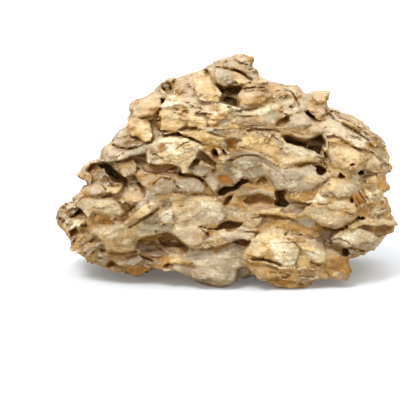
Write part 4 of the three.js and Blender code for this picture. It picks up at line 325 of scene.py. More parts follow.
# The front, back to front: (name, reach, lean, crown, tone, outline). reach is how far the plate
# stands out of the cushion, and is negative in a hollow. lean is how much more it stands out for each
# millimetre down, and crown how much higher its middle is than its edge.
PLATES = [
    # Grounds, which later plates cover in part
    ("centre lobe", -4, 0.1, 3, "lilac", [
        (-46, 36), (-10, 38), (4, 42), (13, 36), (14, 30), (11, 25), (18, 16), (24, 12), (12, 8), (4, 0),
        (-12, -1), (-30, 4), (-46, 13), (-48, 24),
    ]),
    ("bottom left rubble", 0, 0.1, 0, "rubble", [
        (-138, 50), (-120, 56), (-108, 38), (-95, 34), (-80, 36), (-72, 32), (-60, 26), (-62, 14),
        (-80, 8), (-100, 12), (-126, 24), (-138, 33),
    ]),
    ("central ground", 1, 0.22, 0, "tan", [
        (-62, 84), (-40, 96), (-14, 96), (6, 100), (36, 100), (60, 88), (62, 62), (40, 50), (-40, 50),
        (-62, 62),
    ]),
    ("band below the grey plate", -4, 0.22, 0, "ochre", [
        (28, 66), (46, 64), (60, 60), (76, 62), (84, 52), (74, 44), (58, 48), (30, 50), (22, 56),
    ]),
    ("under the tip", -4.5, 0.17, 0, "brown", [
        (-124, 107), (-112, 109), (-104, 103), (-96, 97), (-87, 94), (-86, 87), (-97, 89), (-113, 90),
        (-124, 90),
    ]),
    ("brown step", -4, 0.17, 0, "rust", [
        (-82, 112), (-74, 117), (-68, 118), (-60, 110), (-58, 100), (-70, 102), (-80, 104),
    ]),

    # The peak and the shoulder left of it
    ("peak slab", 4, 0.19, 0, "taupe", [
        (-20, 192), (8, 206), (24, 206), (24, 194), (28, 190), (27, 184), (21, 181), (15, 186), (9, 189),
        (3, 190.5), (-6, 193), (-12, 193),
    ]),
    ("peak knob", 6, 0.07, 2, "ochre", [
        (20, 192), (25.5, 191), (26, 187), (21, 186.5),
    ]),
    ("grey lens", 3, 0, 5, "grey", [
        (-18, 190), (-10, 193.5), (-1, 192), (4, 189.5), (7, 185), (8, 179), (3, 174.5), (-3, 175),
        (-12, 178), (-15, 184),
    ]),
    ("cream sliver", 3.5, 0.12, 1, "cream", [
        (4, 189.5), (10, 188), (15, 185), (20, 180), (18, 177), (11, 176), (8, 180), (6, 184),
    ]),
    ("left of the bulge", 2, 0.12, 2, "tan", [
        (-48, 181), (-42, 184), (-32, 189), (-25, 188), (-24, 178), (-28, 168), (-35, 164), (-44, 169),
        (-48, 174),
    ]),
    ("tan bulge", 4, 0.12, 3, "cream", [
        (-27, 188), (-19, 192), (-15, 184), (-12, 178), (-7, 173), (-4.5, 169), (-7, 164), (-14, 161.5),
        (-24, 163), (-29, 169), (-29, 178),
    ]),
    ("brown block", 5, 0.2, 0, "ochre", [
        (9, 157), (10, 168), (13, 174), (24, 176), (33, 175), (38, 170), (36, 163), (31, 160.5),
        (25, 157.5), (17, 155.5),
    ]),
    ("block ledge", 6, 0.07, 0, "cream", [
        (12, 174), (17, 177), (26, 178.5), (34, 177), (30, 175), (22, 174.5), (14, 173),
    ]),
    ("right of the block", 1, 0.27, 0, "tan", [
        (30, 178), (46, 180), (52, 172), (60, 162), (57, 157), (47, 161), (37, 164), (38, 171),
    ]),
    ("right of the peak", 0, 0.22, 0, "ochre", [
        (46, 180), (62, 178), (67, 170), (66, 158), (60, 160), (52, 171),
    ]),
    ("collar", 3.5, 0.15, 1, "white", [
        (-58, 160), (-52, 169), (-40, 168), (-28, 164), (-16, 162), (0, 160), (8, 158), (18, 155),
        (26, 158), (32, 161), (38, 157), (32, 150), (10, 147), (-8, 150.5), (-30, 152), (-48, 152),
        (-58, 153),
    ]),
    ("white seam", 5, 0.07, 0, "white", [
        (34, 158), (36, 160), (42, 159), (48, 161), (55, 162), (57, 159), (50, 155), (42, 155), (36, 155),
    ]),
    ("left block top", 4, 0.12, 1, "tan", [
        (-88, 154), (-86, 164), (-70, 169), (-60, 168), (-58, 157), (-64, 150), (-74, 148), (-88, 150),
    ]),
    ("cream bulge", 5, 0.12, 3, "cream", [
        (-90, 150), (-78, 149.5), (-71, 146), (-67, 141), (-65, 133), (-67, 128), (-72, 126.5), (-78, 131),
        (-84, 132), (-90, 138),
    ]),
    ("left facet", 3.5, 0.12, 0, "cream", [
        (-60, 155), (-48, 156), (-36, 155), (-33, 147), (-35, 140), (-46, 135), (-59, 137),
    ]),
    ("bright facet", 4.5, 0.1, 1, "cream", [
        (-36, 156), (-24, 157.5), (-17, 153), (-16, 143), (-22, 138), (-34, 139),
    ]),
    ("collar face", 3.5, 0.15, 0, "tan", [
        (-20, 152), (0, 150), (18, 149), (34, 151), (46, 158), (48, 148), (38, 140), (20, 139), (0, 137),
        (-14, 139), (-18, 144),
    ]),
    ("rust patch", 4, 0.1, 0, "rust", [
        (-6, 157), (3, 157.5), (6, 152), (0, 149), (-8, 150),
    ]),
    ("grey chip", 2.5, -0.1, 0, "grey", [
        (-11, 141.5), (-7, 146), (0, 149), (3, 146), (1, 141), (-4, 140),
    ]),

    # Upper left
    ("low slab", -1, 0.17, 0, "taupe", [
        (-102, 127), (-96, 137), (-87, 141), (-83, 131), (-76, 130), (-69, 126), (-80, 122), (-91, 121.5),
        (-99, 124),
    ]),
    ("upper band", 5, 0.15, 0, "cream", [
        (-58, 133), (-50, 132), (-42, 135), (-38, 131), (-30, 129), (-23, 126), (-14, 121), (-6, 122),
        (-4, 127), (3, 130), (-4, 132), (-12, 133.5), (-16, 138), (-24, 138), (-35, 136), (-45, 137),
    ]),
    ("sweeping ledge", 5, 0.12, 2, "lilac", [
        (-112, 118), (-108, 124), (-99, 122.5), (-90, 120.5), (-80, 121), (-70, 125), (-60, 131),
        (-52, 133), (-56, 129), (-62, 126), (-67, 121), (-71, 116), (-78, 114), (-84, 114), (-91, 111),
        (-102, 109.5), (-110, 110),
    ]),
    ("white shelf", 7, 0.07, 1, "white", [
        (-98, 118), (-86, 119), (-84, 115), (-92, 112), (-101, 112),
    ]),
    ("tip slab", 3, 0.19, 0, "tan", [
        (-134, 101), (-132, 107), (-120, 112), (-108, 114), (-106, 109), (-118, 107), (-122, 102),
        (-117, 97), (-120, 91), (-128, 94),
    ]),
    ("wedge block", 1, 0.19, 0, "taupe", [
        (-98, 109), (-90, 111), (-81, 112), (-78, 105), (-79, 98), (-84, 95), (-88, 96), (-93, 101),
    ]),

    # The middle left
    ("rounded plate", 3, 0.16, 1, "tan", [
        (-80, 98), (-73, 102), (-66, 103), (-60, 98), (-52, 96), (-46, 95), (-42, 87), (-50, 83),
        (-60, 82), (-68, 86), (-76, 91),
    ]),
    ("scalloped plate", 8, 0.2, 0, "white", [
        (-70, 118), (-66, 124), (-60, 127), (-50, 131), (-38, 129.5), (-25, 126), (-17, 121), (-22, 116),
        (-31, 110), (-34, 104), (-30, 99), (-40, 98.5), (-42, 105), (-50, 107.5), (-62, 106), (-70, 110),
    ]),
    ("rust arcs", 7, 0.1, 0, "rust", [
        (-68, 121), (-62, 125), (-56, 126), (-52, 122), (-54, 119), (-60, 117.5), (-67, 118),
    ]),
    ("tan nose", 5, 0.15, 0, "tan", [
        (-20, 121), (-14, 124), (-5, 123), (-1, 118), (-3, 114), (-9, 111), (-16, 114),
    ]),
    ("grey shelf", 1, 0.12, 0, "lilac", [
        (-33, 105), (-26, 107), (-18, 105), (-12, 99), (-20, 97), (-30, 99),
    ]),
    ("gully side", 3, 0.07, 1, "cream", [
        (-22, 109), (-12, 103), (-9, 107), (-4, 112), (-9, 112), (-13, 103), (-20, 107),
    ]),
    ("ledge above the lens", 3, 0.17, 1, "tan", [
        (-136, 76), (-130, 84), (-122, 91), (-112, 91), (-104, 89), (-96, 87), (-90, 88), (-91, 82),
        (-100, 81.5), (-110, 80.5), (-122, 80),
    ]),
    ("bowl rim", 3, 0.07, 1, "lilac", [
        (-80, 66), (-79, 72), (-73, 79), (-71, 87), (-64, 85), (-59, 80), (-66, 76), (-74, 70),
    ]),
    ("cream lens", 5, 0, 5, "pale", [
        (-126, 72), (-120, 78), (-110, 79), (-98, 77), (-95, 76), (-91, 70), (-87, 66.5), (-93, 63),
        (-104, 64), (-115, 66), (-122, 61),
    ]),
    ("left knob", 3, 0, 3, "rubble", [
        (-152, 59), (-148, 71), (-140, 76), (-131, 74), (-128, 71), (-130, 66), (-138, 62), (-143, 59),
    ]),
    ("white knob", 4, 0.17, 1, "white", [
        (-147, 57), (-141, 61), (-133, 60), (-124, 60), (-121, 55), (-130, 53.5), (-138, 51), (-144, 52),
    ]),

    # The lower left
    ("mid left plate", -1, 0.12, 0, "ochre", [
        (-121, 61), (-113, 66), (-104, 64), (-93, 62), (-88, 57), (-86, 54), (-95, 54), (-108, 52),
        (-119, 54),
    ]),
    ("grey patch", -1, 0.07, 0, "grey", [
        (-78, 58), (-70, 66), (-62, 66), (-56, 60), (-62, 54), (-72, 54),
    ]),
    ("long white plate", 7, 0.17, 2, "pale", [
        (-117, 51), (-106, 54), (-95, 55), (-87, 55.5), (-80, 59), (-74, 58.5), (-72, 54), (-75, 48),
        (-80, 42), (-79, 35), (-90, 32), (-103, 34), (-109, 41), (-115, 46),
    ]),
    ("diagonal rib", 10, 0.1, 0, "cream", [
        (-90, 57), (-80, 64.5), (-70, 71.5), (-61, 75.5), (-58, 72), (-68, 65), (-76, 59.5), (-86, 54.5),
    ]),
    ("cream triangles", 8, 0.12, 0, "white", [
        (-61, 62), (-57, 65.5), (-51, 70.5), (-47, 69), (-45, 62), (-46, 57), (-52, 58), (-59, 58),
    ]),
    ("grey dimple", -1, 0.07, 0, "grey", [
        (-56, 72), (-54, 78), (-47, 80), (-46, 73), (-51, 69.5),
    ]),
    ("cave lip", 3, 0.12, 1, "grey", [
        (-76, 54), (-60, 55), (-50, 57), (-44, 54), (-41, 49), (-46, 47), (-56, 50), (-68, 49), (-76, 50),
    ]),
    ("lower left ledge", 2, 0.17, 0, "ochre", [
        (-76, 31), (-60, 31), (-48, 30), (-35, 27), (-25, 20), (-35, 20), (-45, 22), (-50, 18), (-60, 16),
        (-66, 18), (-64, 24),
    ]),
    ("bright flake", 5, 0.12, 0, "cream", [
        (-50, 24), (-42, 26.5), (-34, 26), (-30, 23), (-38, 21.5), (-48, 21.5),
    ]),
    ("low flake", 3, 0.17, 0, "lilac", [
        (-47, 18), (-40, 21), (-30, 19), (-24, 13), (-14, 5), (-24, 5), (-36, 9), (-45, 14),
    ]),
    ("pale shard", 3, 0.17, 0, "lilac", [
        (-90, 22), (-84, 27), (-76, 30), (-72, 26), (-78, 22), (-84, 20),
    ]),
    ("amber tooth", -4.5, 0.07, 1, "amber", [
        (-90, 17), (-80, 20.5), (-70, 19), (-64, 17), (-72, 12), (-80, 9), (-88, 13),
    ]),

    # The middle
    ("smooth plate", 4, 0.19, 2, "pale", [
        (-51, 80), (-42, 83), (-30, 81), (-11, 80), (-9, 76), (-3, 71), (-4, 67), (1, 63), (-4, 59),
        (-10, 57), (-22, 53.5), (-30, 56), (-40, 52), (-45, 57), (-47, 66), (-47, 72),
    ]),
    ("overhanging plate", 9, 0.19, 1, "pale", [
        (-46, 56), (-38, 53), (-30, 56), (-22, 53), (-12, 51), (-3, 49), (6, 49.5), (16, 48.5), (24, 48.5),
        (24, 45), (18, 42), (8, 42.5), (0, 39), (-10, 36), (-25, 35), (-35, 37), (-42, 42), (-48, 48),
    ]),
    ("tan nest", 5, -0.1, 0, "ochre", [
        (-22, 51), (-10, 51.5), (-8, 47), (-14, 45), (-20, 46),
    ]),
    ("upper grey plate", 5, 0.19, 1, "grey", [
        (-11, 81), (-15, 88), (-21, 94), (-11, 101), (-3, 108), (5, 113), (15, 118), (25, 120), (36, 116),
        (41, 109), (46, 105), (43, 100), (36, 97), (22, 95), (13, 97), (6, 91), (-3, 89.5), (-9, 84.5),
    ]),
    ("lilac rim", 7, 0.07, 1, "lilac", [
        (8, 114), (15, 118), (26, 120.5), (34, 117.5), (40, 111), (45, 106), (40, 107), (33, 112),
        (24, 115.5), (15, 115),
    ]),
    ("orange face", 4, 0.07, 0, "amber", [
        (-10, 97), (-2, 98), (4, 95), (2, 92), (-6, 92),
    ]),
    ("tan ledge", 3, 0.22, 0, "tan", [
        (0, 62), (10, 66), (22, 65), (31, 62), (28, 55), (20, 52), (11, 55), (14, 60), (5, 61.5),
    ]),
    ("striped nest", -3, 0.07, 0, "ochre", [
        (-3, 71), (0, 77), (7, 80), (13, 79), (14, 73), (9, 68), (2, 67.5),
    ]),
    ("cream ridge", 5, 0.17, 1, "cream", [
        (20, 65.5), (30, 68.5), (37, 70), (46, 70.5), (49, 68), (43, 64.5), (35, 64), (27, 64.5),
    ]),
    ("brown recess", -3, 0.17, 0, "brown", [
        (48, 76), (60, 75.5), (71, 74), (67, 70), (60, 65), (52, 65.5), (47, 68),
    ]),
    ("grey eyelid", 3, 0.07, 1, "grey", [
        (12, 80), (16, 84), (26, 85), (38, 83), (41, 79), (36, 80), (24, 83), (16, 80),
    ]),

    # The middle right
    ("cream ground", 2, 0.17, 0, "cream", [
        (12, 130), (10, 122), (20, 119), (30, 117), (38, 110), (44, 104), (60, 106), (74, 109), (84, 112),
        (76, 116), (68, 122), (50, 126), (46, 132), (46, 138), (30, 139), (18, 137),
    ]),
    ("cream lip", 6, 0.15, 0, "white", [
        (50, 125), (58, 123), (66, 121), (72, 118), (76, 114), (72, 110), (62, 109), (52, 112), (47, 118),
    ]),
    ("grey hood", 7, 0.22, 1, "taupe", [
        (38, 142), (50, 148), (60, 152), (68, 151), (75, 143), (82, 140), (85, 136), (75, 134),
        (72, 129.5), (65, 127.5), (57, 129.5), (50, 133), (41, 137),
    ]),
    ("grey plate", 5, 0.17, 2, "lilac", [
        (34, 97), (42, 101), (60, 105.5), (71, 108), (77, 104), (83, 99), (88, 97), (80, 90), (72, 86),
        (60, 84.5), (50, 84.5), (41, 86), (37, 90),
    ]),
    ("lower grey edge", 2, 0.17, 0, "ochre", [
        (50, 85), (60, 84.5), (72, 86), (80, 90), (77, 83), (71, 77), (62, 75), (52, 76), (49, 81),
    ]),
    ("smooth slope", 3, 0.22, 0, "tan", [
        (86, 134), (95, 133), (101, 128), (107, 124), (120, 121), (127, 116), (120, 111), (110, 106),
        (100, 103), (90, 105), (84, 111), (86, 122),
    ]),
    ("lip", 5, 0.07, 1, "white", [
        (100, 131), (108, 133), (120, 130), (124, 126), (117, 123.5), (110, 123.5), (104, 126),
    ]),
    ("shoulder slab", 0, 0.22, 0, "taupe", [
        (87, 158), (100, 156), (114, 149), (128, 139), (138, 130), (139, 124), (128, 125), (120, 129),
        (110, 135), (100, 141), (90, 147), (82, 149),
    ]),
    ("shoulder vein", 2, 0.07, 0, "ochre", [
        (92, 152), (104, 146), (118, 137), (132, 127), (130, 125), (116, 134), (102, 143), (90, 149),
    ]),
    ("pale slab", 3, 0.22, 1, "pale", [
        (75, 147), (90, 147), (100, 142), (105, 136), (101, 130), (95, 133), (87, 136), (79, 140),
    ]),
    ("horn", 3, 0.17, 0, "ochre", [
        (69, 172), (77, 174), (92, 174), (89, 160), (88, 157), (82, 149), (75, 146), (70, 153), (67, 158),
        (67, 168),
    ]),
    ("pale strip", 3, 0.07, 0, "lilac", [
        (64, 170), (70, 169), (70, 158), (67, 153), (62, 152), (61, 160),
    ]),
    ("yellow crust", 2, 0.17, 0, "amber", [
        (120, 126), (132, 127), (140, 124), (146, 118), (143, 111), (133, 111), (128, 117), (121, 121),
    ]),
    ("crust lens", 1, 0.07, 1, "lilac", [
        (125, 122), (131, 120), (138, 115), (136, 112), (129, 116),
    ]),
    ("cream knob", 4, 0, 4, "pale", [
        (116, 104), (118, 109), (124, 112), (129, 109), (128, 104), (122, 102.5),
    ]),
    ("grey wedge", -2, 0.07, 0, "grey", [
        (115, 104), (122, 103), (131, 101), (129, 97), (120, 95), (116, 91), (113, 94),
    ]),
    ("upper tooth", 3, 0.17, 0, "ochre", [
        (127, 105), (136, 111), (149, 106), (140, 100.5), (130, 100),
    ]),
    ("cream wedge", 4, 0.17, 0, "cream", [
        (118, 95), (129, 99), (132, 93), (125, 90), (118, 91),
    ]),
    ("lower tooth", 1, 0.17, 0, "amber", [
        (130, 98), (140, 99), (147, 89), (138, 84), (130, 87),
    ]),
    ("left lobe", 5, 0.17, 3, "cream", [
        (79, 86), (85, 92.5), (92, 93.5), (96, 90), (95, 86), (88, 83), (81, 82),
    ]),
    ("right lobe", 5, 0.12, 3, "pale", [
        (94, 90), (100, 91.5), (107, 90), (113, 84), (109, 80), (100, 79), (92, 80), (88, 83),
    ]),
    ("striped wing", 3, 0.07, 0, "amber", [
        (107, 84), (113, 88), (120, 76), (113, 73.5), (106, 75),
    ]),
    ("white fleck", 4, 0.07, 0, "white", [
        (116, 87), (124, 84), (127, 79), (121, 77), (118, 81),
    ]),
    ("cream triangle", 6, 0.12, 0, "white", [
        (71.5, 76), (79.5, 83.5), (85, 76), (82, 74), (73, 74),
    ]),

    # The lower right
    ("ochre boss", 8, 0.15, 3, "tan", [
        (59, 62), (68, 71), (75, 74), (88, 75), (100, 77), (110, 74), (113, 66), (110, 60), (100, 54),
        (92, 51.5), (82, 53.5), (74, 58), (66, 63),
    ]),
    ("pale cap", 10, 0.15, 1, "pale", [
        (85, 71), (92, 76), (100, 75.5), (106, 71), (99, 67), (89, 67),
    ]),
    ("grey rough patch", -1, 0.07, 0, "grey", [
        (59, 60), (66, 62.5), (74, 61), (76, 55), (66, 52), (58, 56),
    ]),
    ("ochre slab", 5, 0.2, 0, "ochre", [
        (111, 74), (120, 76), (137, 77), (145, 70), (146, 62), (135, 58.5), (120, 60), (112, 63),
    ]),
    ("light ledge", 9, 0.15, 0, "cream", [
        (98, 54), (112, 59), (125, 60.5), (140, 59), (152, 57), (152, 53.5), (140, 54.5), (130, 55),
        (118, 54), (107, 51),
    ]),
    ("lower lip", 3, 0.17, 1, "lilac", [
        (104, 36), (110, 41), (120, 42), (136, 43), (136, 38), (127, 32), (119, 31), (110, 34),
    ]),
    ("low hook", -2, 0.07, 0, "grey", [
        (104, 35), (111, 34.5), (119, 31), (107, 27), (103, 28),
    ]),
    ("right lower plate", 8, 0.17, 1, "pale", [
        (86, 43), (92, 48), (100, 53), (112, 52.5), (122, 51), (130, 45), (131, 41), (118, 40), (108, 37),
        (102, 36), (95, 39),
    ]),
    ("white corner", 10, 0.07, 0, "white", [
        (97, 45), (108, 50), (116, 51), (108, 42), (104, 37.5), (98, 39),
    ]),
    ("lower lobe", 5, -0.05, 3, "tan", [
        (10, 24), (14, 27), (22, 24), (34, 22), (46, 19), (58, 18), (70, 18), (80, 18), (92, 10), (82, 0),
        (70, -3), (45, -3), (29, 1), (23, 9), (20, 16),
    ]),
    ("rust band", 5, 0.07, 1, "rust", [
        (36, 9), (46, 12), (60, 14), (74, 14), (84, 9), (74, 5), (58, 3), (44, 5),
    ]),
    ("lower knob", 3, 0.05, 3, "ochre", [
        (80, 32), (90, 34), (99, 33), (106, 27), (105, 20), (110, 16), (104, 7), (97, 4), (90, 8),
        (84, 16), (79, 22),
    ]),
    ("right wing", 5, 0.17, 1, "cream", [
        (57, 47), (68, 43), (79, 36), (87, 29), (84, 21), (70, 18.5), (59, 19), (59, 28), (62, 37),
    ]),
    ("wing flake", 9, 0.12, 0, "white", [
        (66, 33), (73, 37), (80, 34), (86, 28), (85, 23.5), (80, 21.5), (73, 24),
    ]),
    ("low wing flake", 8, 0.12, 0, "cream", [
        (58, 26), (64, 29), (71, 23), (79, 20), (68, 18), (59, 18.5),
    ]),
    ("big cream plate", 9, 0.17, 2, "cream", [
        (13, 34), (18, 40), (24, 46), (36, 50), (50, 48), (58, 44), (62, 37), (61, 29), (58, 21), (50, 20),
        (40, 23), (30, 27), (20, 27.5), (12, 25), (10, 27.5),
    ]),
    ("bright face", 11, 0.15, 0, "white", [
        (38, 44), (50, 45), (58, 38), (61, 30), (58, 21), (49, 20.5), (41, 26), (36, 34),
    ]),

    # Facets broken off the faces of the plates
    ("peak facet", 6, 0.2, 0, "tan", [
        (4, 201), (13, 206), (24, 206), (22, 197), (12, 195),
    ]),
    ("bulge facet", 7, 0.15, 0, "cream", [
        (-25, 178), (-15, 177), (-8, 172), (-6, 168), (-14, 165), (-24, 168),
    ]),
    ("block face", 7, 0.2, 0, "tan", [
        (11, 167), (18, 170), (28, 168), (34, 164), (27, 159), (17, 158), (11, 160),
    ]),
    ("shoulder facet", 2, 0.2, 0, "pale", [
        (46, 176), (58, 175), (63, 168), (56, 163), (49, 168),
    ]),
    ("boss facet", 11, 0.2, 0, "cream", [
        (72, 66), (84, 69), (95, 68), (97, 58), (88, 54), (78, 57),
    ]),
    ("second boss facet", 10.5, 0.15, 0, "tan", [
        (96, 70), (106, 71), (112, 65), (108, 58), (98, 56),
    ]),
    ("slope facet", 5, 0.2, 0, "cream", [
        (96, 121), (108, 121), (118, 117), (112, 111), (100, 110),
    ]),
    ("second slope facet", 4, 0.2, 0, "pale", [
        (87, 120), (95, 121), (97, 112), (90, 108), (86, 112),
    ]),
    ("wing facet", 8, 0.15, 0, "cream", [
        (62, 38), (70, 41), (77, 37), (74, 32), (66, 33),
    ]),
    ("plate facet", 10.5, 0.2, 0, "cream", [
        (17, 39), (25, 46), (37, 45), (36, 35), (30, 28), (15, 31),
    ]),
    ("knob facet", 6, 0.15, 0, "tan", [
        (83, 29), (92, 31), (100, 27), (98, 19), (88, 18),
    ]),
    ("lobe facet", 8, 0, 0, "cream", [
        (25, 18), (35, 19), (44, 15), (38, 8), (28, 9),
    ]),
    ("second lobe facet", 7, 0, 0, "tan", [
        (50, 16), (62, 16), (70, 12), (62, 7), (52, 8),
    ]),
    ("lens facet", 8, 0.1, 0, "pale", [
        (-116, 76), (-104, 77), (-98, 73), (-106, 68), (-116, 70),
    ]),
    ("plate chip", 9, 0.12, 0, "white", [
        (-112, 50), (-100, 53), (-92, 52), (-98, 47), (-108, 46),
    ]),
    ("second plate chip", 10, 0.12, 0, "pale", [
        (-98, 46), (-86, 48), (-80, 45), (-84, 38), (-96, 38),
    ]),
    ("lilac slab", 5, 0.15, 0, "lilac", [
        (-46, 93), (-36, 95.5), (-25, 93.5), (-18, 89), (-22, 84), (-34, 83), (-43, 85),
    ]),
    ("second lilac slab", 4, 0.15, 0, "lilac", [
        (-64, 90), (-54, 95), (-47, 93), (-46, 87), (-52, 82), (-62, 82),
    ]),
    ("smooth facet", 7, 0.15, 0, "pale", [
        (-46, 68), (-40, 74), (-30, 74), (-20, 68), (-24, 60), (-34, 57), (-44, 61),
    ]),
    ("second smooth facet", 6, 0.2, 0, "white", [
        (-30, 79), (-12, 79), (-6, 74), (-8, 67), (-18, 68),
    ]),
    ("over facet", 11, 0.15, 0, "pale", [
        (-44, 50), (-36, 52), (-26, 53), (-18, 49), (-24, 38), (-36, 38), (-42, 43),
    ]),
    ("second over facet", 11, 0.12, 0, "lilac", [
        (-8, 46), (6, 47), (16, 46), (10, 43), (-4, 41),
    ]),
    ("grey facet", 8, 0.15, 0, "grey", [
        (2, 110), (16, 114), (28, 113), (30, 106), (16, 102), (4, 104),
    ]),
    ("second grey facet", 8, 0.15, 0, "lilac", [
        (46, 102), (58, 104), (66, 100), (60, 93), (48, 93),
    ]),
    ("third grey facet", 7, 0.15, 0, "pale", [
        (66, 98), (78, 99), (82, 95), (74, 90), (66, 91),
    ]),
    ("scallop facet", 11, 0.15, 0, "white", [
        (-54, 118), (-42, 119), (-36, 112), (-44, 108), (-54, 111),
    ]),
    ("second scallop facet", 10, 0.15, 0, "cream", [
        (-44, 128), (-32, 127), (-24, 122), (-34, 119), (-44, 122),
    ]),
    ("ground facet", 5, 0.15, 0, "cream", [
        (16, 134), (28, 136), (38, 133), (34, 125), (20, 124),
    ]),
    ("second ground facet", 6, 0.15, 0, "white", [
        (48, 107), (60, 108), (66, 113), (54, 116), (46, 113),
    ]),
    ("hood facet", 10, 0.2, 0, "grey", [
        (52, 147), (64, 149), (72, 143), (64, 137), (52, 139),
    ]),
    ("horn facet", 6, 0.15, 0, "cream", [
        (73, 169), (84, 172), (89, 168), (84, 160), (75, 159),
    ]),
    ("shoulder chip", 3, 0.2, 0, "tan", [
        (98, 152), (112, 146), (120, 140), (112, 138), (100, 145),
    ]),
    ("ledge facet", 6, 0.15, 0, "pale", [
        (-124, 88), (-112, 89), (-106, 85), (-114, 82), (-124, 84),
    ]),
    ("collar facet", 5, 0.15, 0, "white", [
        (-50, 165), (-38, 165), (-26, 161), (-36, 157), (-48, 159),
    ]),
    ("second collar facet", 5, 0.15, 0, "cream", [
        (-14, 159), (0, 157), (6, 153), (-4, 151), (-14, 155),
    ]),
    ("face facet", 6, 0.15, 0, "tan", [
        (8, 147), (22, 148), (30, 144), (22, 140), (8, 141),
    ]),
    ("second face facet", 5, 0.15, 0, "grey", [
        (30, 150), (40, 154), (46, 150), (40, 143), (31, 144),
    ]),
    ("left chip", 4, 0.15, 0, "tan", [
        (-46, 178), (-36, 181), (-30, 176), (-36, 170), (-44, 173),
    ]),

    # Pockets and holes, which cut into all of these. The deepest are coloured with painted shade.
    ("notch by the bulge", -5, 0, 0, "rust", [
        (-19, 190.5), (-17.5, 190.5), (-15, 185.5), (-16.5, 184),
    ]),
    ("peak cave", -12, 0, 0, "taupe", [
        (-9, 176), (-3, 174), (3, 176), (10, 174.5), (14, 175), (12, 171), (9, 166), (9.5, 157), (3, 159),
        (-7, 161), (-4, 168),
    ]),
    ("roof of the cave", -19, 0, 0, "dark", [
        (0, 173.5), (6, 175), (13, 175), (11, 171.5), (5, 170),
    ]),
    ("foot of the cave", -20, 0, 0, "dark", [
        (-4, 163), (-1, 167), (5, 166), (9, 163), (9.5, 157.5), (3, 159),
    ]),
    ("pebble pit", -8, 0, 0, "brown", [
        (-57, 176), (-54, 179.5), (-49, 178.5), (-48, 174), (-50, 169.5), (-54, 169.5), (-57, 173),
    ]),
    ("brown hollow", -5, 0, 0, "rust", [
        (-65, 149), (-61, 151), (-57, 149), (-57, 143), (-59, 139), (-63, 141),
    ]),
    ("black cave", -30, 0, 0, "dark", [
        (-112, 107.5), (-105, 109), (-101, 107.5), (-96, 102.5), (-91, 97.5), (-87, 95.5), (-86.5, 88),
        (-89.5, 87), (-91.5, 92), (-97, 94), (-102, 98.5), (-107, 104),
    ]),
    ("wedge shadow", -6, 0, 0, "brown", [
        (-88, 96), (-83, 98), (-79, 98), (-80, 94), (-85, 92.5),
    ]),
    ("brown corner", -7, 0, 0, "brown", [
        (-79, 113), (-74, 116), (-70, 117), (-70, 110.5), (-76, 110),
    ]),
    ("scalloped cave", -10, 0, 0, "rust", [
        (-80, 111), (-74, 112), (-66, 108), (-58, 106.5), (-50, 108), (-44, 106), (-41, 100), (-44, 95.5),
        (-50, 97), (-56, 98), (-62, 101), (-70, 102), (-77, 106),
    ]),
    ("left hole", -14, 0, 0, "dark", [
        (-31, 106.5), (-29, 111), (-26, 112.5), (-23, 110.5), (-26, 108.5),
    ]),
    ("gully", -8, 0, 0, "brown", [
        (-27, 115), (-24, 120), (-20, 118), (-14, 113), (-10, 109), (-11, 104), (-16, 107), (-21, 110),
    ]),
    ("round hole", -17, 0, 0, "dark", [
        (-13, 118), (-10.5, 121.5), (-8, 119.5), (-7, 114), (-9, 112.5), (-12, 114), (-12.5, 116),
    ]),
    ("hook hollow", -7, 0, 0, "brown", [
        (-6, 122.5), (-3, 121.5), (0, 117.5), (-1, 115.5), (-4, 117), (-3.5, 120),
    ]),
    ("orange curl", -5, 0, 0, "amber", [
        (0, 129), (5, 130.5), (11, 129), (9, 124.5), (7, 120), (3, 118), (0, 120), (1, 125),
    ]),
    ("orange bowl", -10, 0, 0, "tan", [
        (-94, 82), (-92, 88), (-86, 92), (-78, 92.5), (-72, 89), (-70, 83), (-73, 76.5), (-79, 73),
        (-88, 75),
    ]),
    ("bowl shade", -15, 0, 0, "rust", [
        (-79, 92), (-74, 90), (-70.5, 86), (-71, 80), (-74, 81), (-75, 86),
    ]),
    ("left notch", -10, 0, 0, "brown", [
        (-139, 61), (-133, 65), (-128, 71), (-124, 67), (-121, 61), (-130, 60),
    ]),
    ("knob pit", -10, 0, 0, "brown", [
        (-149, 61), (-147, 62.5), (-145, 61), (-147, 59.5),
    ]),
    ("left cave", -17, 0, 0, "brown", [
        (-80, 37), (-77, 43), (-69, 47), (-60, 47.5), (-51, 49), (-45, 45.5), (-40, 40.5), (-34, 36.5),
        (-36, 32), (-48, 30.5), (-62, 30), (-74, 31.5),
    ]),
    ("cave shadow", -24, 0, 0, "dark", [
        (-58, 44), (-50, 45), (-44, 42.5), (-38, 38), (-42, 36), (-50, 37.5), (-57, 39),
    ]),
    ("pit under the ledge", -8, 0, 0, "rust", [
        (-57, 20), (-52, 23), (-46, 20.5), (-47, 17.5), (-54, 18),
    ]),
    ("rubble pit", -9, 0, 0, "brown", [
        (-105, 20), (-102, 24), (-98, 25), (-94, 20), (-96, 17), (-101, 17.5),
    ]),
    ("second rubble pit", -7, 0, 0, "brown", [
        (-119, 42), (-116, 45), (-113, 43), (-110, 41.5), (-113, 38.5), (-117, 39),
    ]),
    ("third rubble pit", -8, 0, 0, "rust", [
        (-112, 36.5), (-106, 35), (-103, 30), (-110, 29.5),
    ]),
    ("fourth rubble pit", -8, 0, 0, "brown", [
        (-129, 49), (-126, 52), (-122, 51), (-119, 48), (-121, 45), (-126, 45.5),
    ]),
    ("fifth rubble pit", -7, 0, 0, "rust", [
        (-137, 50), (-131, 54), (-128, 50), (-132, 43), (-136, 42),
    ]),
    ("hollow over the ledge", -6, 0, 0, "brown", [
        (-128, 55), (-122, 57.5), (-120, 53), (-125, 51.5),
    ]),
    ("dark eye", -17, 0, 0, "brown", [
        (-24, 53.7), (-16, 52.8), (-10, 53.5), (-8, 56.5), (3, 58), (12.5, 57.7), (9, 54), (3, 49.5),
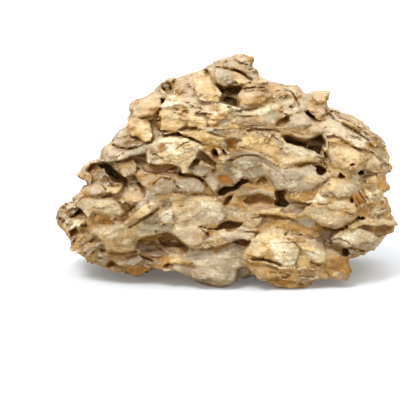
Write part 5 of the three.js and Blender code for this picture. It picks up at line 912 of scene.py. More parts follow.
        (0, 49.5), (-2, 52.5), (-10, 51.5),
    ]),
    ("long crevice", -24, 0, 0, "dark", [
        (-8.5, 84), (-3, 88.5), (5, 88.5), (9, 91.5), (13, 96), (20, 94), (13, 90.5), (9, 87), (2, 84.5),
        (-2, 81.5), (-7, 82),
    ]),
    ("short crevice", -16, 0, 0, "dark", [
        (-4, 73), (0, 78.5), (6, 81), (5, 78), (0, 74), (-2.5, 70.5),
    ]),
    ("amber eye", -13, 0, 0, "amber", [
        (14.5, 76), (19, 80.5), (25, 82), (33, 81.5), (39, 79.5), (44, 75), (43, 71), (37, 69.5), (28, 69),
        (20, 71),
    ]),
    ("black hole", -28, 0, 0, "dark", [
        (41, 85.5), (49.5, 86), (49.5, 81), (50, 78), (54, 74.5), (51, 71), (44, 70.5), (41, 73), (43, 78),
        (42, 82),
    ]),
    ("orange pit", -9, 0, 0, "rust", [
        (26, 91), (28, 95.5), (32, 97.5), (35, 93), (33, 89.5), (30, 90),
    ]),
    ("right cave", -17, 0, 0, "brown", [
        (47, 131.5), (52, 131.5), (57, 129), (66, 128), (70, 129), (74, 131.5), (81, 134.5), (82.5, 128),
        (81, 121), (79, 115), (76, 115.5), (73, 119), (69, 121.5), (65, 124), (58, 124), (51, 126),
    ]),
    ("cave depth", -26, 0, 0, "dark", [
        (50, 129.5), (56, 128), (64, 126.5), (69, 125), (66, 123.5), (58, 124.5), (52, 127),
    ]),
    ("second cave depth", -26, 0, 0, "dark", [
        (71, 124), (76, 123), (80, 121), (79, 116), (76, 116.5), (73, 119.5), (70, 121.5),
    ]),
    ("hood recess", -6, 0, 0, "rust", [
        (40, 141), (46, 147), (53, 149), (54, 144), (47, 139.5),
    ]),
    ("right pit", -9, 0, 0, "brown", [
        (82, 131), (85, 129), (84.5, 122), (82, 123.5),
    ]),
    ("second right pit", -8, 0, 0, "brown", [
        (81, 119), (84, 118.5), (85.5, 113), (82, 112.5),
    ]),
    ("deep hole", -24, 0, 0, "dark", [
        (74, 107.5), (80, 107), (85, 103.5), (83, 101), (80.5, 98.8), (76, 99.5), (74.5, 102.5),
        (76.5, 105),
    ]),
    ("slanting crack", -16, 0, 0, "dark", [
        (66.5, 153), (69, 154), (77, 146.5), (76, 144.5), (70, 149),
    ]),
    ("third hole", -17, 0, 0, "dark", [
        (110.5, 101), (115, 103.2), (117.5, 100.5), (115.5, 98), (112, 99),
    ]),
    ("small hole", -14, 0, 0, "dark", [
        (95.5, 97.5), (97.5, 100.5), (99.5, 98.5), (102, 96.8), (98, 95.5),
    ]),
    ("slope dimple", -5, 0, 0, "brown", [
        (104, 107), (107, 108), (108.5, 106.5), (106, 105.5),
    ]),
    ("nest pits", -7, 0, 0, "brown", [
        (105, 78), (107, 79.5), (109, 76.5), (107.5, 74), (105.5, 75.5),
    ]),
    ("boss pit", -7, 0, 0, "brown", [
        (99.5, 55), (102, 56), (103.5, 54), (101.5, 53),
    ]),
    ("amber ground", -9, 0, 0, "amber", [
        (125, 52), (132, 54), (142, 54.5), (153, 55), (152, 50), (141, 48), (132, 44), (127, 46),
    ]),
    ("low recess", -9, 0, 0, "brown", [
        (81, 44), (86, 45.5), (90, 41), (97, 37.5), (102, 36), (100, 32), (90, 32), (82, 36),
    ]),
    ("low hollow", -17, 0, 0, "dark", [
        (98, 35.5), (104, 36), (105.5, 31), (103, 27.5), (99, 29),
    ]),
    ("gap by the lobe", -22, 0, 0, "dark", [
        (9, 18), (14, 20.5), (18, 19), (21, 14), (25, 8), (24, 2), (8, 2), (7, 9),
    ]),
    ("brown pocket", -12, 0, 0, "rust", [
        (4, 41), (12, 43), (20, 41.5), (18, 38.5), (13.5, 35.5), (11, 38),
    ]),
    ("plate dimple", -6, 0, 0, "rust", [
        (49, 49), (51, 49.5), (51, 46.5), (49, 46.5),
    ]),
    ("pebble", -2, 0, 3, "tan", [
        (-55, 176), (-52, 178), (-49.5, 176), (-50, 173), (-53, 172),
    ]),
]

# Thin cracks across the plates: (depth, [(across, up), ...])
CRACKS = [
    (7, [(5, 190), (10, 188.6), (15, 185.6), (20.5, 181)]),
    (2, [(-12, 193.5), (-3, 192), (4, 190.5)]),
    (6, [(-99, 124.5), (-94, 122), (-88, 121.2), (-82, 122.3)]),
    (8, [(-42, 99), (-36, 97.8), (-30, 97.8), (-25, 95.8), (-21, 93.7)]),
    (5, [(-95, 76), (-91, 71), (-87, 68), (-84, 68.5), (-80, 72)]),
    (3, [(-89, 76), (-84, 71)]),
    (8, [(22, 26.5), (30, 26.4), (38, 23.8), (46, 21.3)]),
    (6, [(106, 36.2), (112, 34.8), (118, 32.8)]),
    (4, [(61, 106), (65, 108.5), (70, 109.4), (76, 109)]),
    (3, [(81, 111), (84, 106.5), (87.5, 101.5)]),
    (3, [(-16, 136), (-12, 133.5), (-6, 132), (1, 131), (8, 130.5)]),
    (2, [(-60, 133), (-52, 133.3), (-43, 135.3), (-37, 131.5), (-30, 129), (-23, 126)]),
    (4, [(-47, 93.5), (-44, 89), (-40.5, 86.5)]),
    (4, [(-1.5, 112.4), (4, 111.5)]),
    (4, [(5, 130.6), (10, 130.2), (12, 127.5)]),
    (3, [(-131, 74), (-126, 79), (-122, 79.5)]),
    (3, [(-109.3, 91), (-105, 86)]),
    (3, [(-103, 31.8), (-94, 31), (-84, 32), (-79, 32.5)]),
    (5, [(-77, 30.5), (-71, 27.5), (-64.5, 24.3)]),
    (3, [(20, 61.2), (28, 62.3), (36, 63.8), (46, 62), (57, 59.4)]),
    (3, [(17, 80), (26, 82), (35, 81.3)]),
    (3, [(52, 74.6), (62, 75.1), (71, 74), (84, 73)]),
    (2, [(82, 54.5), (87, 52.5), (92, 51), (100, 51.6)]),
    (2, [(101, 66), (106, 64.8), (109.5, 61.8), (111.5, 58.3)]),
    (3, [(112, 84.5), (118.5, 75.2)]),
    (2, [(110, 80.5), (113.5, 75)]),
    (2, [(54, 135.3), (64, 133.3), (74, 133)]),
    (2, [(122, 120.6), (127.5, 115.7), (133.5, 110.1)]),
    (3, [(52, 43.8), (58, 40.3), (61.5, 36.2)]),
    (3, [(71, 24.5), (76, 22.2), (81, 20.9), (84, 22)]),
    (4, [(19.5, 41.5), (23, 44), (25, 48)]),
    (4, [(-84, 53.5), (-76, 58.5), (-68, 64), (-59, 70.5)]),
    (3, [(-64, 91), (-56, 96), (-48, 94.5)]),
    (2, [(-46, 84), (-34, 81.5), (-24, 82), (-12, 81)]),
    (3, [(-22, 52.5), (-17, 47), (-19, 42), (-14, 37)]),
    (3, [(88, 43), (96, 44), (104, 40), (108, 38)]),
    (2, [(92, 152), (104, 146), (118, 137), (132, 127)]),
    (2, [(100, 143), (112, 135), (124, 127)]),
    (3, [(50, 171.5), (54, 171), (57, 167), (62, 158)]),
    (2, [(36, 15), (48, 14), (60, 12), (74, 11)]),
    (2, [(14, 173), (22, 174.3), (32, 173.5)]),
    (2, [(15, 170.5), (26, 171.5), (37, 169.5)]),
    (2, [(38, 8), (52, 7), (64, 5)]),
    (2, [(-46, 121), (-38, 125), (-30, 128)]),
]


def smoothstep(low, high, x):
    t = np.clip((x - low) / (high - low), 0, 1)
    return t * t * (3 - 2 * t)


def mix(a, b, t):
    return a + (b - a) * t


def smooth_max(a, b, k):
    """The larger of two values, rounded off where they are within k of each other."""
    h = np.maximum(k - np.abs(a - b), 0) / k
    return np.maximum(a, b) + h * h * k / 4


def scramble(h):
    """A number from 0 to 1 for each whole number."""
    h = (h ^ (h >> 13)) * np.uint32(SCRAMBLE_FACTORS[0])
    h = (h ^ (h >> 15)) * np.uint32(SCRAMBLE_FACTORS[1])
    return (h ^ (h >> 16)).astype(np.float32) * np.float32(1 / WORD)


def lattice_value(i, j, k, seed):
    """A number from 0 to 1 for one point of the whole-number lattice."""
    h = sum(index * factor for index, factor in zip((i, j, k), AXIS_FACTORS)) + seed * SEED_FACTOR
    return float(scramble(np.array([h % WORD], np.uint32))[0])


def lattice_keys(i, j, k, seed):
    """Whole numbers for the two neighbours along each axis of each lattice point."""
    keys = []
    for index, factor in zip((i, j, k), AXIS_FACTORS):
        first = index.astype(np.int32).view(np.uint32) * np.uint32(factor)
        keys.append((first, first + np.uint32(factor)))
    start = np.uint32(seed * SEED_FACTOR % WORD)
    keys[0] = (keys[0][0] + start, keys[0][1] + start)
    return keys


def noise(x, y, z, size, seed):
    """Smooth noise from -1 to 1 whose bumps are about size millimetres apart."""
    parts = [c / np.float32(size) for c in (x, y, z)]
    floors = [np.floor(c) for c in parts]
    keys = lattice_keys(*floors, seed)
    fades = []
    for c, low in zip(parts, floors):
        t = c - low
        fades.append(t * t * t * (t * (t * 6 - 15) + 10))
    a, b, c = fades
    total = 0
    for n in range(8):
        di, dj, dk = n & 1, n >> 1 & 1, n >> 2
        weight = (a if di else 1 - a) * (b if dj else 1 - b) * (c if dk else 1 - c)
        total = total + weight * scramble(keys[0][di] + keys[1][dj] + keys[2][dk])
    return total * 2 - 1


def wave(x, y, z, kind):
    """Noise given as (size of its bumps, height, seed)."""
    size, height, seed = kind
    return height * noise(x, y, z, size, seed)


def cells(x, y, bed, size, seed):
    """The nearest cell of a jittered lattice: how far above its middle, and its own random keys."""
    parts = [c / np.float32(s) for c, s in zip((x, y, bed), size)]
    floors = [np.floor(c - np.float32(0.5)) for c in parts]
    keys = [lattice_keys(*floors, seed + axis * CELL_SEED_STEP) for axis in range(3)]
    out_keys = lattice_keys(*floors, seed + 3 * CELL_SEED_STEP)
    nearest = np.full(x.shape, np.inf, np.float32)
    above = np.zeros_like(x)
    chosen = np.zeros(x.shape, np.uint32)
    for n in range(8):
        d = (n & 1, n >> 1 & 1, n >> 2)
        offsets = []
        for axis in range(3):
            key = keys[axis][0][d[0]] + keys[axis][1][d[1]] + keys[axis][2][d[2]]
            corner = floors[axis] + np.float32(d[axis] + CELL_INSET)
            centre = corner + np.float32(CELL_PLAY) * scramble(key)
            offsets.append(parts[axis] - centre)
        distance = offsets[0] ** 2 + offsets[1] ** 2 + offsets[2] ** 2
        closer = distance < nearest
        nearest = np.where(closer, distance, nearest)
        above = np.where(closer, offsets[2], above)
        key = out_keys[0][d[0]] + out_keys[1][d[1]] + out_keys[2][d[2]]
        chosen = np.where(closer, key, chosen)
    return above * size[2], np.sqrt(nearest), chosen


def scale_relief(x, y, bed, layer):
    """How far a layer of overlapping scales stands out, and the random key of each point's scale."""
    size, reach, lean, hollow, seed = layer
    above, offset, chosen = cells(x, y, bed, size, seed)
    out = 2 * reach * (scramble(chosen) - 0.5)
    return out - lean * above + hollow * (offset - MEAN_OFFSET), chosen


def inside_distance(outline, u, v):
    """Distance to a closed outline, positive inside."""
    nearest = np.full(u.shape, np.inf, np.float32)
    inside = np.zeros(u.shape, bool)
    ax, ay = outline[-1]
    for bx, by in outline:
        ex, ey = bx - ax, by - ay
        t = np.clip(((u - ax) * ex + (v - ay) * ey) / (ex * ex + ey * ey), 0, 1)
        nearest = np.minimum(nearest, (u - ax - t * ex) ** 2 + (v - ay - t * ey) ** 2)
        if ey:
            crosses = ((ay > v) != (by > v)) & (u < ex * (v - ay) / ey + ax)
            inside ^= crosses
        ax, ay = bx, by
    distance = np.sqrt(nearest)
    return np.where(inside, distance, -distance)


def line_distance(line, u, v):
    """Distance to an open line."""
    nearest = np.full(u.shape, np.inf, np.float32)
    for (ax, ay), (bx, by) in zip(line, line[1:]):
        ex, ey = bx - ax, by - ay
        t = np.clip(((u - ax) * ex + (v - ay) * ey) / (ex * ex + ey * ey), 0, 1)
        nearest = np.minimum(nearest, np.hypot(u - ax - t * ex, v - ay - t * ey))
    return nearest


def rim_distance(u, v):
    """Distance from the rim of the cushion, positive inside, rounded off at its corners."""
    total = 0
    ax, ay = CUSHION_RIM[-1]
    for bx, by in CUSHION_RIM:
        ex, ey = bx - ax, by - ay
        distance = ((v - ay) * ex - (u - ax) * ey) / math.hypot(ex, ey)
        total = total + np.exp(np.minimum(distance / RIM_ROUNDING, LARGEST_EXPONENT))
        ax, ay = bx, by
    return -RIM_ROUNDING * np.log(total)


class OutlineMap:
    """The distance to the stone's outline, looked up from a fine lattice."""

    def __init__(self, outline, step=0.6, margin=50):
        points = np.array(outline, np.float32)
        self.low = points.min(axis=0) - margin
        self.step = step
        counts = np.ceil((points.max(axis=0) + margin - self.low) / step).astype(int)
        u, v = (self.low[axis] + step * np.arange(counts[axis], dtype=np.float32) for axis in (0, 1))
        self.values = inside_distance(outline, *np.meshgrid(u, v, indexing="ij"))

    def __call__(self, u, v):
        limit = np.array(self.values.shape) - 1.001
        a = np.clip((u - self.low[0]) / self.step, 0, limit[0])
        b = np.clip((v - self.low[1]) / self.step, 0, limit[1])
        i, j = a.astype(np.int32), b.astype(np.int32)
        a, b = a - i, b - j
        values = self.values
        near = mix(values[i, j], values[i + 1, j], a)
        far = mix(values[i, j + 1], values[i + 1, j + 1], a)
        return mix(near, far, b)


def blob(middle, size, pick):
    """An uneven round outline in a tilted frame."""
    tilt = BLOB_TILT * (pick(3) - 0.5)
    smallest, added = BLOB_RADIUS
    corners = []
    for n in range(CORNERS):
        angle = 2 * math.pi * n / CORNERS
        radius = size * (smallest + added * pick(4 + n))
        du = radius * STREWN_CELL[0] * math.cos(angle)
        dv = radius * STREWN_CELL[1] * math.sin(angle) + tilt * du
        corners.append((middle[0] + du, middle[1] + dv))
    return corners


def strewn_plates(low, high, seed):
    """The plates of one side, in rows, with the pockets and holes on top."""
    strewn = []
    width, height = STREWN_CELL
    for row in range(math.ceil((high[1] - low[1]) / height)):
        for column in range(math.ceil((high[0] - low[0]) / width)):
            pick = lambda n: lattice_value(row, column, n, seed)
            reach, lean, crown, size, tone = KINDS[int(pick(0) * len(KINDS))]
            u = low[0] + (column + ROW_SHIFT * (row % 2) + BLOB_SHIFT * pick(1)) * width
            v = low[1] + (row + BLOB_SHIFT * pick(2)) * height
            strewn.append(("strewn", reach, lean, crown, tone, blob((u, v), size, pick)))
    return sorted(strewn, key=lambda plate: plate[1] <= POCKET)


STREWN = {seed: strewn_plates(low, high, seed) for *_, low, high, seed in SIDES}


def facing(x, y, z, direction):
    """How much a side counts at each point, from how far the cushion's surface there faces its way."""
    away = (x, y - MIDDLE_Y, z - MIDDLE_LEVEL)
    normal = [c / size**2 for c, size in zip(away, HALF_SIZES)]
    length = np.sqrt(sum(c * c for c in normal)) + 1e-9
    return smoothstep(*SIDE_FADE, sum(c * d for c, d in zip(normal, direction)) / length)


def plate_sets(x, y, z, behind):
    """Each set of plates: the plates, how much they count at the points, and where each point is seen
    on the plane that they are drawn on."""
    for direction, across, up, low, high, seed in SIDES:
        weight = facing(x, y, z, direction) * smoothstep(*BACK_FADE, behind)
        places = [sum(c * d for c, d in zip((x, y, z), line)) for line in (across, up)]
        yield STREWN[seed], weight, places
    yield PLATES, smoothstep(*FRONT_FADE, behind), place_on_view(x, y, z)


def plate_layers(plates, u, v, height):
    """For each plate that reaches any of the points: the plate, its points, how much of it is there,
    how far inside its edge they are and the height of its middle."""
    for plate in plates:
        reach, outline = plate[1], plate[5]
        corners = np.array(outline)
        low, high = corners.min(axis=0) - EDGE, corners.max(axis=0) + EDGE
        shifted = v if reach <= POCKET else v - UNDERCUT * (reach - height)
        near = np.flatnonzero((u > low[0]) & (u < high[0]) & (shifted > low[1]) & (shifted < high[1]))
        if not near.size:
            continue
        inside = inside_distance(outline, u[near], shifted[near])
        cover = smoothstep(-EDGE, EDGE, inside)
        yield plate, near, cover, inside, (low[1] + high[1]) / 2


def plate_face(plate, inside, down, texture):
    """The relief of a plate. A pocket is deepest under its upper lip and runs out at its foot."""
    reach, lean, crown, outline = plate[1], plate[2], plate[3], plate[5]
    ups = [up for _, up in outline]
    tall = max(ups) - min(ups)
    if HOLE < reach <= POCKET:
        t = np.clip(0.5 + down / tall, 0, 1)
        hollow = POCKET_ROOF * reach * (1 - t**POCKET_CURVE)
        return hollow + POCKET_FOOT * t + POCKET_TEXTURE * texture
    return reach + lean * down + crown * (1 - np.exp(-np.maximum(inside, 0) / ROUNDING)) + texture


def plate_relief(plates, u, v, height, ground, texture):
    """The relief of the drawn plates over the given ground, at a height above the cushion, and how
    rough they are. texture is what shows of the scales on the plates."""
    relief = ground.copy()
    rough = np.ones_like(ground)
    for plate, near, cover, inside, middle in plate_layers(plates, u, v, height):
        face = plate_face(plate, inside, middle - v[near], texture[near])
        if plate[1] <= POCKET:
            face = np.minimum(face, relief[near])
        relief[near] = mix(relief[near], face, cover)
        rough[near] = mix(rough[near], ROUGHNESS.get(plate[4], 1), cover)
    return relief, rough


def crack_depth(u, v):
    """How deep the cracks cut at each point."""
    deepest = np.zeros_like(u)
    for depth, line in CRACKS:
        corners = np.array(line)
        width = CRACK_WIDTH + CRACK_SPREAD * depth
        low, high = corners.min(axis=0) - width, corners.max(axis=0) + width
        near = np.flatnonzero((u > low[0]) & (u < high[0]) & (v > low[1]) & (v < high[1]))
        if near.size:
            cut = depth * smoothstep(width, 0, line_distance(line, u[near], v[near]))
            deepest[near] = np.maximum(deepest[near], cut)
    return deepest


def place_on_view(x, y, z):
    """Where a point is seen on the plane of the outline and the plates."""
    across = x
    up = z * math.cos(VIEW_ELEVATION) + (y - NEAR_FOOT_Y) * math.sin(VIEW_ELEVATION)
    return across, up


def underside_level(x, y):
    """The level of the underside: low at the feet and a few millimetres up between them."""
    flat = np.zeros_like(x)
    uneven = wave(x, y, flat, FOOT_UNEVEN)
    footing = flat
    for fx, fy, radius in FEET:
        away = np.hypot(x - fx, y - fy) + uneven
        footing = np.maximum(footing, smoothstep(radius, radius * FOOT_CORE, away))
    gap = UNDERSIDE_GAP + wave(x, y, flat, GAP_UNEVEN)
    return mix(gap, FOOT_LEVEL, footing)


def ragged_shift(x, y, z):
    """How far the edges of the plates wander at each point."""
    du = wave(x, y, z, RAGGED_ACROSS[0]) + wave(x, y, z, RAGGED_ACROSS[1])
    dv = wave(x, y, z, RAGGED_UP[0]) + wave(x, y, z, RAGGED_UP[1])
    return du, dv


def bedding(x, y, z):
    """The place of each point across the wavy, arched layers of the stone."""
    waves = wave(x, y, z, LONG_WAVE) + wave(x, y, z, SHORT_WAVE)
    return z + BEDDING_ARCH / 2 * x * x - BEDDING_DIP * y + waves


def cushion_of(x, y, z, u, v):
    """The cushion's height function, how far each point is behind its middle surface, how far the
    cushion reaches there and the distance from its rim."""
    swell = wave(x, y, z, SWELL)
    bend = wave(x, np.zeros_like(x), z, BEND)
    behind = y - MIDDLE_Y - bend - LEAN_BACK * (z - LEAN_LEVEL)
    front, back = FRONT_REACH * (1 + FRONT_SWELL * swell), BACK_REACH * (1 + BACK_SWELL * swell)
    reach = np.where(behind < 0, front, back)
    rim = rim_distance(u, v)
    thin = np.maximum(RIM - rim, 0) / RIM
    fullness = np.where(behind < 0, FRONT_FULLNESS, BACK_FULLNESS)
    section = (thin**fullness + (np.abs(behind) / reach) ** fullness) ** (1 / fullness)
    return (section - 1) * RIM, behind, reach, rim


def terraced(field, step):
    """What turning a smooth field into flat terraces, step millimetres apart, adds to it."""
    level = field / step
    part = level % 1
    return step * (smoothstep(*TERRACE_SLOPE, part) - part)


def fine_relief(x, y, z, bed):
    """Flakes, chips, scoops between sharp crests, thin terraces and crumbs, a few millimetres deep."""
    wander = wave(x, y, z, WANDER)
    flakes, _ = scale_relief(x + wander, y, bed + FLAKE_WANDER * wander, FLAKES)
    along, across = CHIP_WANDER
    chips, _ = scale_relief(x + along * wander, y, bed + across * wander, CHIPS)
    patch = smoothstep(*PATCH_RANGE, wave(x, y, z, PATCHES))
    wide_scoops = np.abs(wave(x, y, SCOOP_FLATNESS * bed, SCOOPS))
    scoops = CREST - wide_scoops - np.abs(wave(x, y, z, SMALL_SCOOPS))
    field = wave(x, y, TERRACE_FLATNESS * bed, TERRACES) + wave(x, y, z, TERRACE_RIPPLE)
    terraces = mix(SMOOTH_TERRACES, 1, patch) * terraced(field, TERRACE_STEP)
    crumbs = wave(x, y, z, CRUMBS)
    return flakes + scoops + terraces + mix(SMOOTH_CHIPS, 1, patch) * chips + patch * crumbs


def stone(points, outline_map):
    """The stone as one function of space, in millimetres: negative inside, positive outside."""
    x, y, z = points
    u, v = place_on_view(x, y, z)
    cushion, behind, reach, rim = cushion_of(x, y, z, u, v)
    bed = bedding(x, y, z)
    ground = wave(x, y, bed * LUMPS_FLATNESS, LUMPS)
    lobes, _ = scale_relief(x, y, bed, LOBES)
    ledges, _ = scale_relief(x, y, bed, LEDGES)
    scales, _ = scale_relief(x, y, bed, SCALES)
    texture = LUMPS_ON_PLATES * ground + LEDGES_ON_PLATES * ledges + SCALES_ON_PLATES * scales
    relief = ground + lobes + ledges + scales
    rough = np.ones_like(x)
    du, dv = ragged_shift(x, y, z)
    for plates, weight, (across, up) in plate_sets(x, y, z, behind):
        seen = np.flatnonzero(weight > 0)
        places = (across + du)[seen], (up + dv)[seen]
        drawn = plate_relief(plates, *places, cushion[seen], relief[seen], texture[seen])
        relief[seen] = mix(relief[seen], drawn[0], weight[seen])
        rough[seen] = mix(rough[seen], drawn[1], weight[seen])
    line_place = u + LINE_WANDER * du, v + LINE_WANDER * dv
    relief -= crack_depth(*line_place) * smoothstep(*FRONT_FADE, behind)
    at_rim = RIM_CALM * smoothstep(*CALM_FROM_RIM, rim)
    fade = 1 - at_rim * smoothstep(*CALM_FROM_MIDDLE, np.abs(behind))
    relief = relief * fade
    fine = fine_relief(x, y, z, bed) * rough

    front_shrink = mix(LOW_SHRINK, FRONT_SHRINK, smoothstep(*SHRINK_LEVELS, v))
    shrink = np.where(behind < 0, front_shrink, BACK_SHRINK) * (behind / reach) ** 2
    uneven = EDGE_RELIEF * smoothstep(*EDGE_RELIEF_SHRINK, shrink) * relief
    edge = shrink - uneven - outline_map(*line_place) - OUTLINE_GROWTH - EDGE_FINE * fine
    below = underside_level(x, y) - z - UNDERSIDE_FINE * fine
    body = smooth_max(cushion - relief - fade * fine, edge, EDGE_BLEND)
    return smooth_max(body, below, UNDERSIDE_BLEND)


def in_chunks(function, points, size=40_000):
    """Evaluates a function of points, given as an array of 3 by n, several chunks at a time."""
    starts = range(0, points.shape[1], size)
    chunks = [points[:, start : start + size] for start in starts]
    with ThreadPoolExecutor(4) as pool:
        return np.concatenate(list(pool.map(function, chunks)), axis=-1)


def sample(function, low, high):
    """The function on a fine lattice. Far from its zero surface the values are only rough."""
    blocks = np.ceil((high - low) / (STEP * STRIDE)).astype(int)
    counts = blocks * STRIDE + 1
    axes = [low[n] + STEP * np.arange(counts[n], dtype=np.float32) for n in range(3)]
    coarse_axes = [axis[::STRIDE] for axis in axes]
    coarse = np.stack([c.ravel() for c in np.meshgrid(*coarse_axes, indexing="ij")])
    rough = in_chunks(function, coarse).reshape(blocks + 1)

    corners = [rough[i : i + blocks[0], j : j + blocks[1], k : k + blocks[2]]
               for i in (0, 1) for j in (0, 1) for k in (0, 1)]
    smallest = np.minimum.reduce(corners)
    largest = np.maximum.reduce(corners)
    reach = STEP * STRIDE
    near = (smallest < reach) & (largest > -reach)
    values = rough[:-1, :-1, :-1]
    wanted = near
    for axis in range(3):
        values = values.repeat(STRIDE, axis)
        wanted = wanted.repeat(STRIDE, axis)
    values = np.pad(values, [(0, 1)] * 3, mode="edge")
    wanted = spread(np.pad(wanted, [(0, 1)] * 3), 1)
    known = np.zeros_like(wanted)
    while wanted.any():
        i, j, k = np.nonzero(wanted)
        values[i, j, k] = in_chunks(function, np.stack([axes[0][i], axes[1][j], axes[2][k]]))
        known |= wanted
        wanted = spread(open_crossings(values, known), 3) & ~known
    return values


def spread(mask, times):
    """The mask grown by that many lattice steps along every axis."""
    for _ in range(times):
        for axis in range(3):
            front, back = np.roll(mask, 1, axis), np.roll(mask, -1, axis)
            mask = mask | front | back
    return mask


def open_crossings(values, known):
    """Lattice points on either side of a change of sign that aren't both known exactly."""
    found = np.zeros_like(known)
    inside = values < 0
    for axis in range(3):
        a = tuple(slice(None, -1) if n == axis else slice(None) for n in range(3))
        b = tuple(slice(1, None) if n == axis else slice(None) for n in range(3))
        crossing = (inside[a] != inside[b]) & ~(known[a] & known[b])
        found[a] |= crossing
        found[b] |= crossing
    return found


def surface_net(values, low):
    """A mesh of quads round the zero surface, with one vertex in each lattice cell that it crosses."""
    inside = values < 0
    shape = np.array(values.shape) - 1
    corner = lambda array, d: array[d[0] : d[0] + shape[0], d[1] : d[1] + shape[1], d[2] : d[2] + shape[2]]
    offsets = [(n & 1, n >> 1 & 1, n >> 2) for n in range(8)]
    full = sum(corner(inside, d).astype(np.int8) for d in offsets)
    cell = np.stack(np.nonzero((full > 0) & (full < 8)))
    number = np.full(shape, -1, np.int32)
    number[tuple(cell)] = np.arange(cell.shape[1])
    heights = [values[tuple(cell + np.array(d)[:, None])] for d in offsets]

    place = np.zeros(cell.shape, np.float32)
    crossings = np.zeros(cell.shape[1], np.float32)
    for axis in range(3):
        for n in range(8):
            if offsets[n][axis]:
                continue
            a, b = heights[n], heights[n + (1 << axis)]
            crosses = (a < 0) != (b < 0)
            along = np.where(crosses, a / np.where(crosses, a - b, 1), 0)
            for other in range(3):
                step = along if other == axis else offsets[n][other]
                place[other] += crosses * step
            crossings += crosses
    points = (cell + place / crossings) * STEP + np.array(low, np.float32)[:, None]

    quads = []
    for axis in range(3):
        b, c = (axis + 1) % 3, (axis + 2) % 3
        a_side = tuple(slice(None, -1) if n == axis else slice(1, -1) for n in range(3))
        b_side = tuple(slice(1, None) if n == axis else slice(1, -1) for n in range(3))
        edge = np.stack(np.nonzero(inside[a_side] != inside[b_side]))
        for n in (b, c):
            edge[n] += 1
        ring = []
        for db, dc in ((1, 1), (0, 1), (0, 0), (1, 0)):
            around = edge.copy()
            around[b] -= db
            around[c] -= dc
            ring.append(number[tuple(around)])
        ring = np.stack(ring, axis=1)
        outwards = inside[tuple(edge)]
        quads.append(np.where(outwards[:, None], ring, ring[:, ::-1]))
    return points.T, np.concatenate(quads)


def largest_piece(points, quads):
    """Only the largest connected surface, without floating crumbs and sealed bubbles."""
    label = np.arange(len(points))
    ends = np.concatenate([quads[:, [0, 1]], quads[:, [1, 2]], quads[:, [2, 3]]])
    while True:
        a, b = label[ends[:, 0]], label[ends[:, 1]]
        differs = a != b
        if not differs.any():
            break
        a, b = a[differs], b[differs]
        np.minimum.at(label, np.maximum(a, b), np.minimum(a, b))
        while True:
            jumped = label[label]
            if (jumped == label).all():
                break
            label = jumped
    main = np.bincount(label).argmax()
    kept = label == main
    renumber = np.cumsum(kept) - 1
    return points[kept], renumber[quads[kept[quads[:, 0]]]]


def smoothed(points, quads, amount):
    """The points moved part of the way to the middle of their neighbours."""
    ends = np.concatenate([quads, np.roll(quads, 1, axis=1)]).ravel()
    others = np.concatenate([np.roll(quads, -1, axis=1), quads]).ravel()
    counts = np.bincount(ends, minlength=len(points))
    middle = [np.bincount(ends, points[others, n], len(points)) / counts for n in range(3)]
    return mix(points, np.stack(middle, axis=1), amount)


def mesh_of(points, quads):
    mesh = bpy.data.meshes.new("stone")
    mesh.vertices.add(len(points))
    mesh.vertices.foreach_set("co", (points * MM).astype(np.float32).ravel())
    mesh.loops.add(quads.size)
    mesh.loops.foreach_set("vertex_index", quads.astype(np.int32).ravel())
    mesh.polygons.add(len(quads))
    mesh.polygons.foreach_set("loop_start", np.arange(0, quads.size, 4, dtype=np.int32))
    mesh.update(calc_edges=True)
    mesh.validate()
    return mesh


def thinned(mesh, faces):
    """A copy of the mesh with that many triangles."""
    worker = bpy.data.objects.new("worker", mesh)
    bpy.context.collection.objects.link(worker)
    thin = worker.modifiers.new("thin", "DECIMATE")
    thin.ratio = faces / (2 * len(mesh.polygons))
    thin.use_collapse_triangulate = True
    depsgraph = bpy.context.evaluated_depsgraph_get()
    result = bpy.data.meshes.new_from_object(worker.evaluated_get(depsgraph))
    bpy.data.objects.remove(worker)
    return result


def linear(colour):
    """An sRGB colour from 0 to 255 as linear light."""
    c = np.array(colour) / 255
    return np.where(c <= 0.04045, c / 12.92, ((c + 0.055) / 1.055) ** 2.4)


def tone_pair(name):
    return np.concatenate([linear(colour) for colour in TONES[name]]).astype(np.float32)


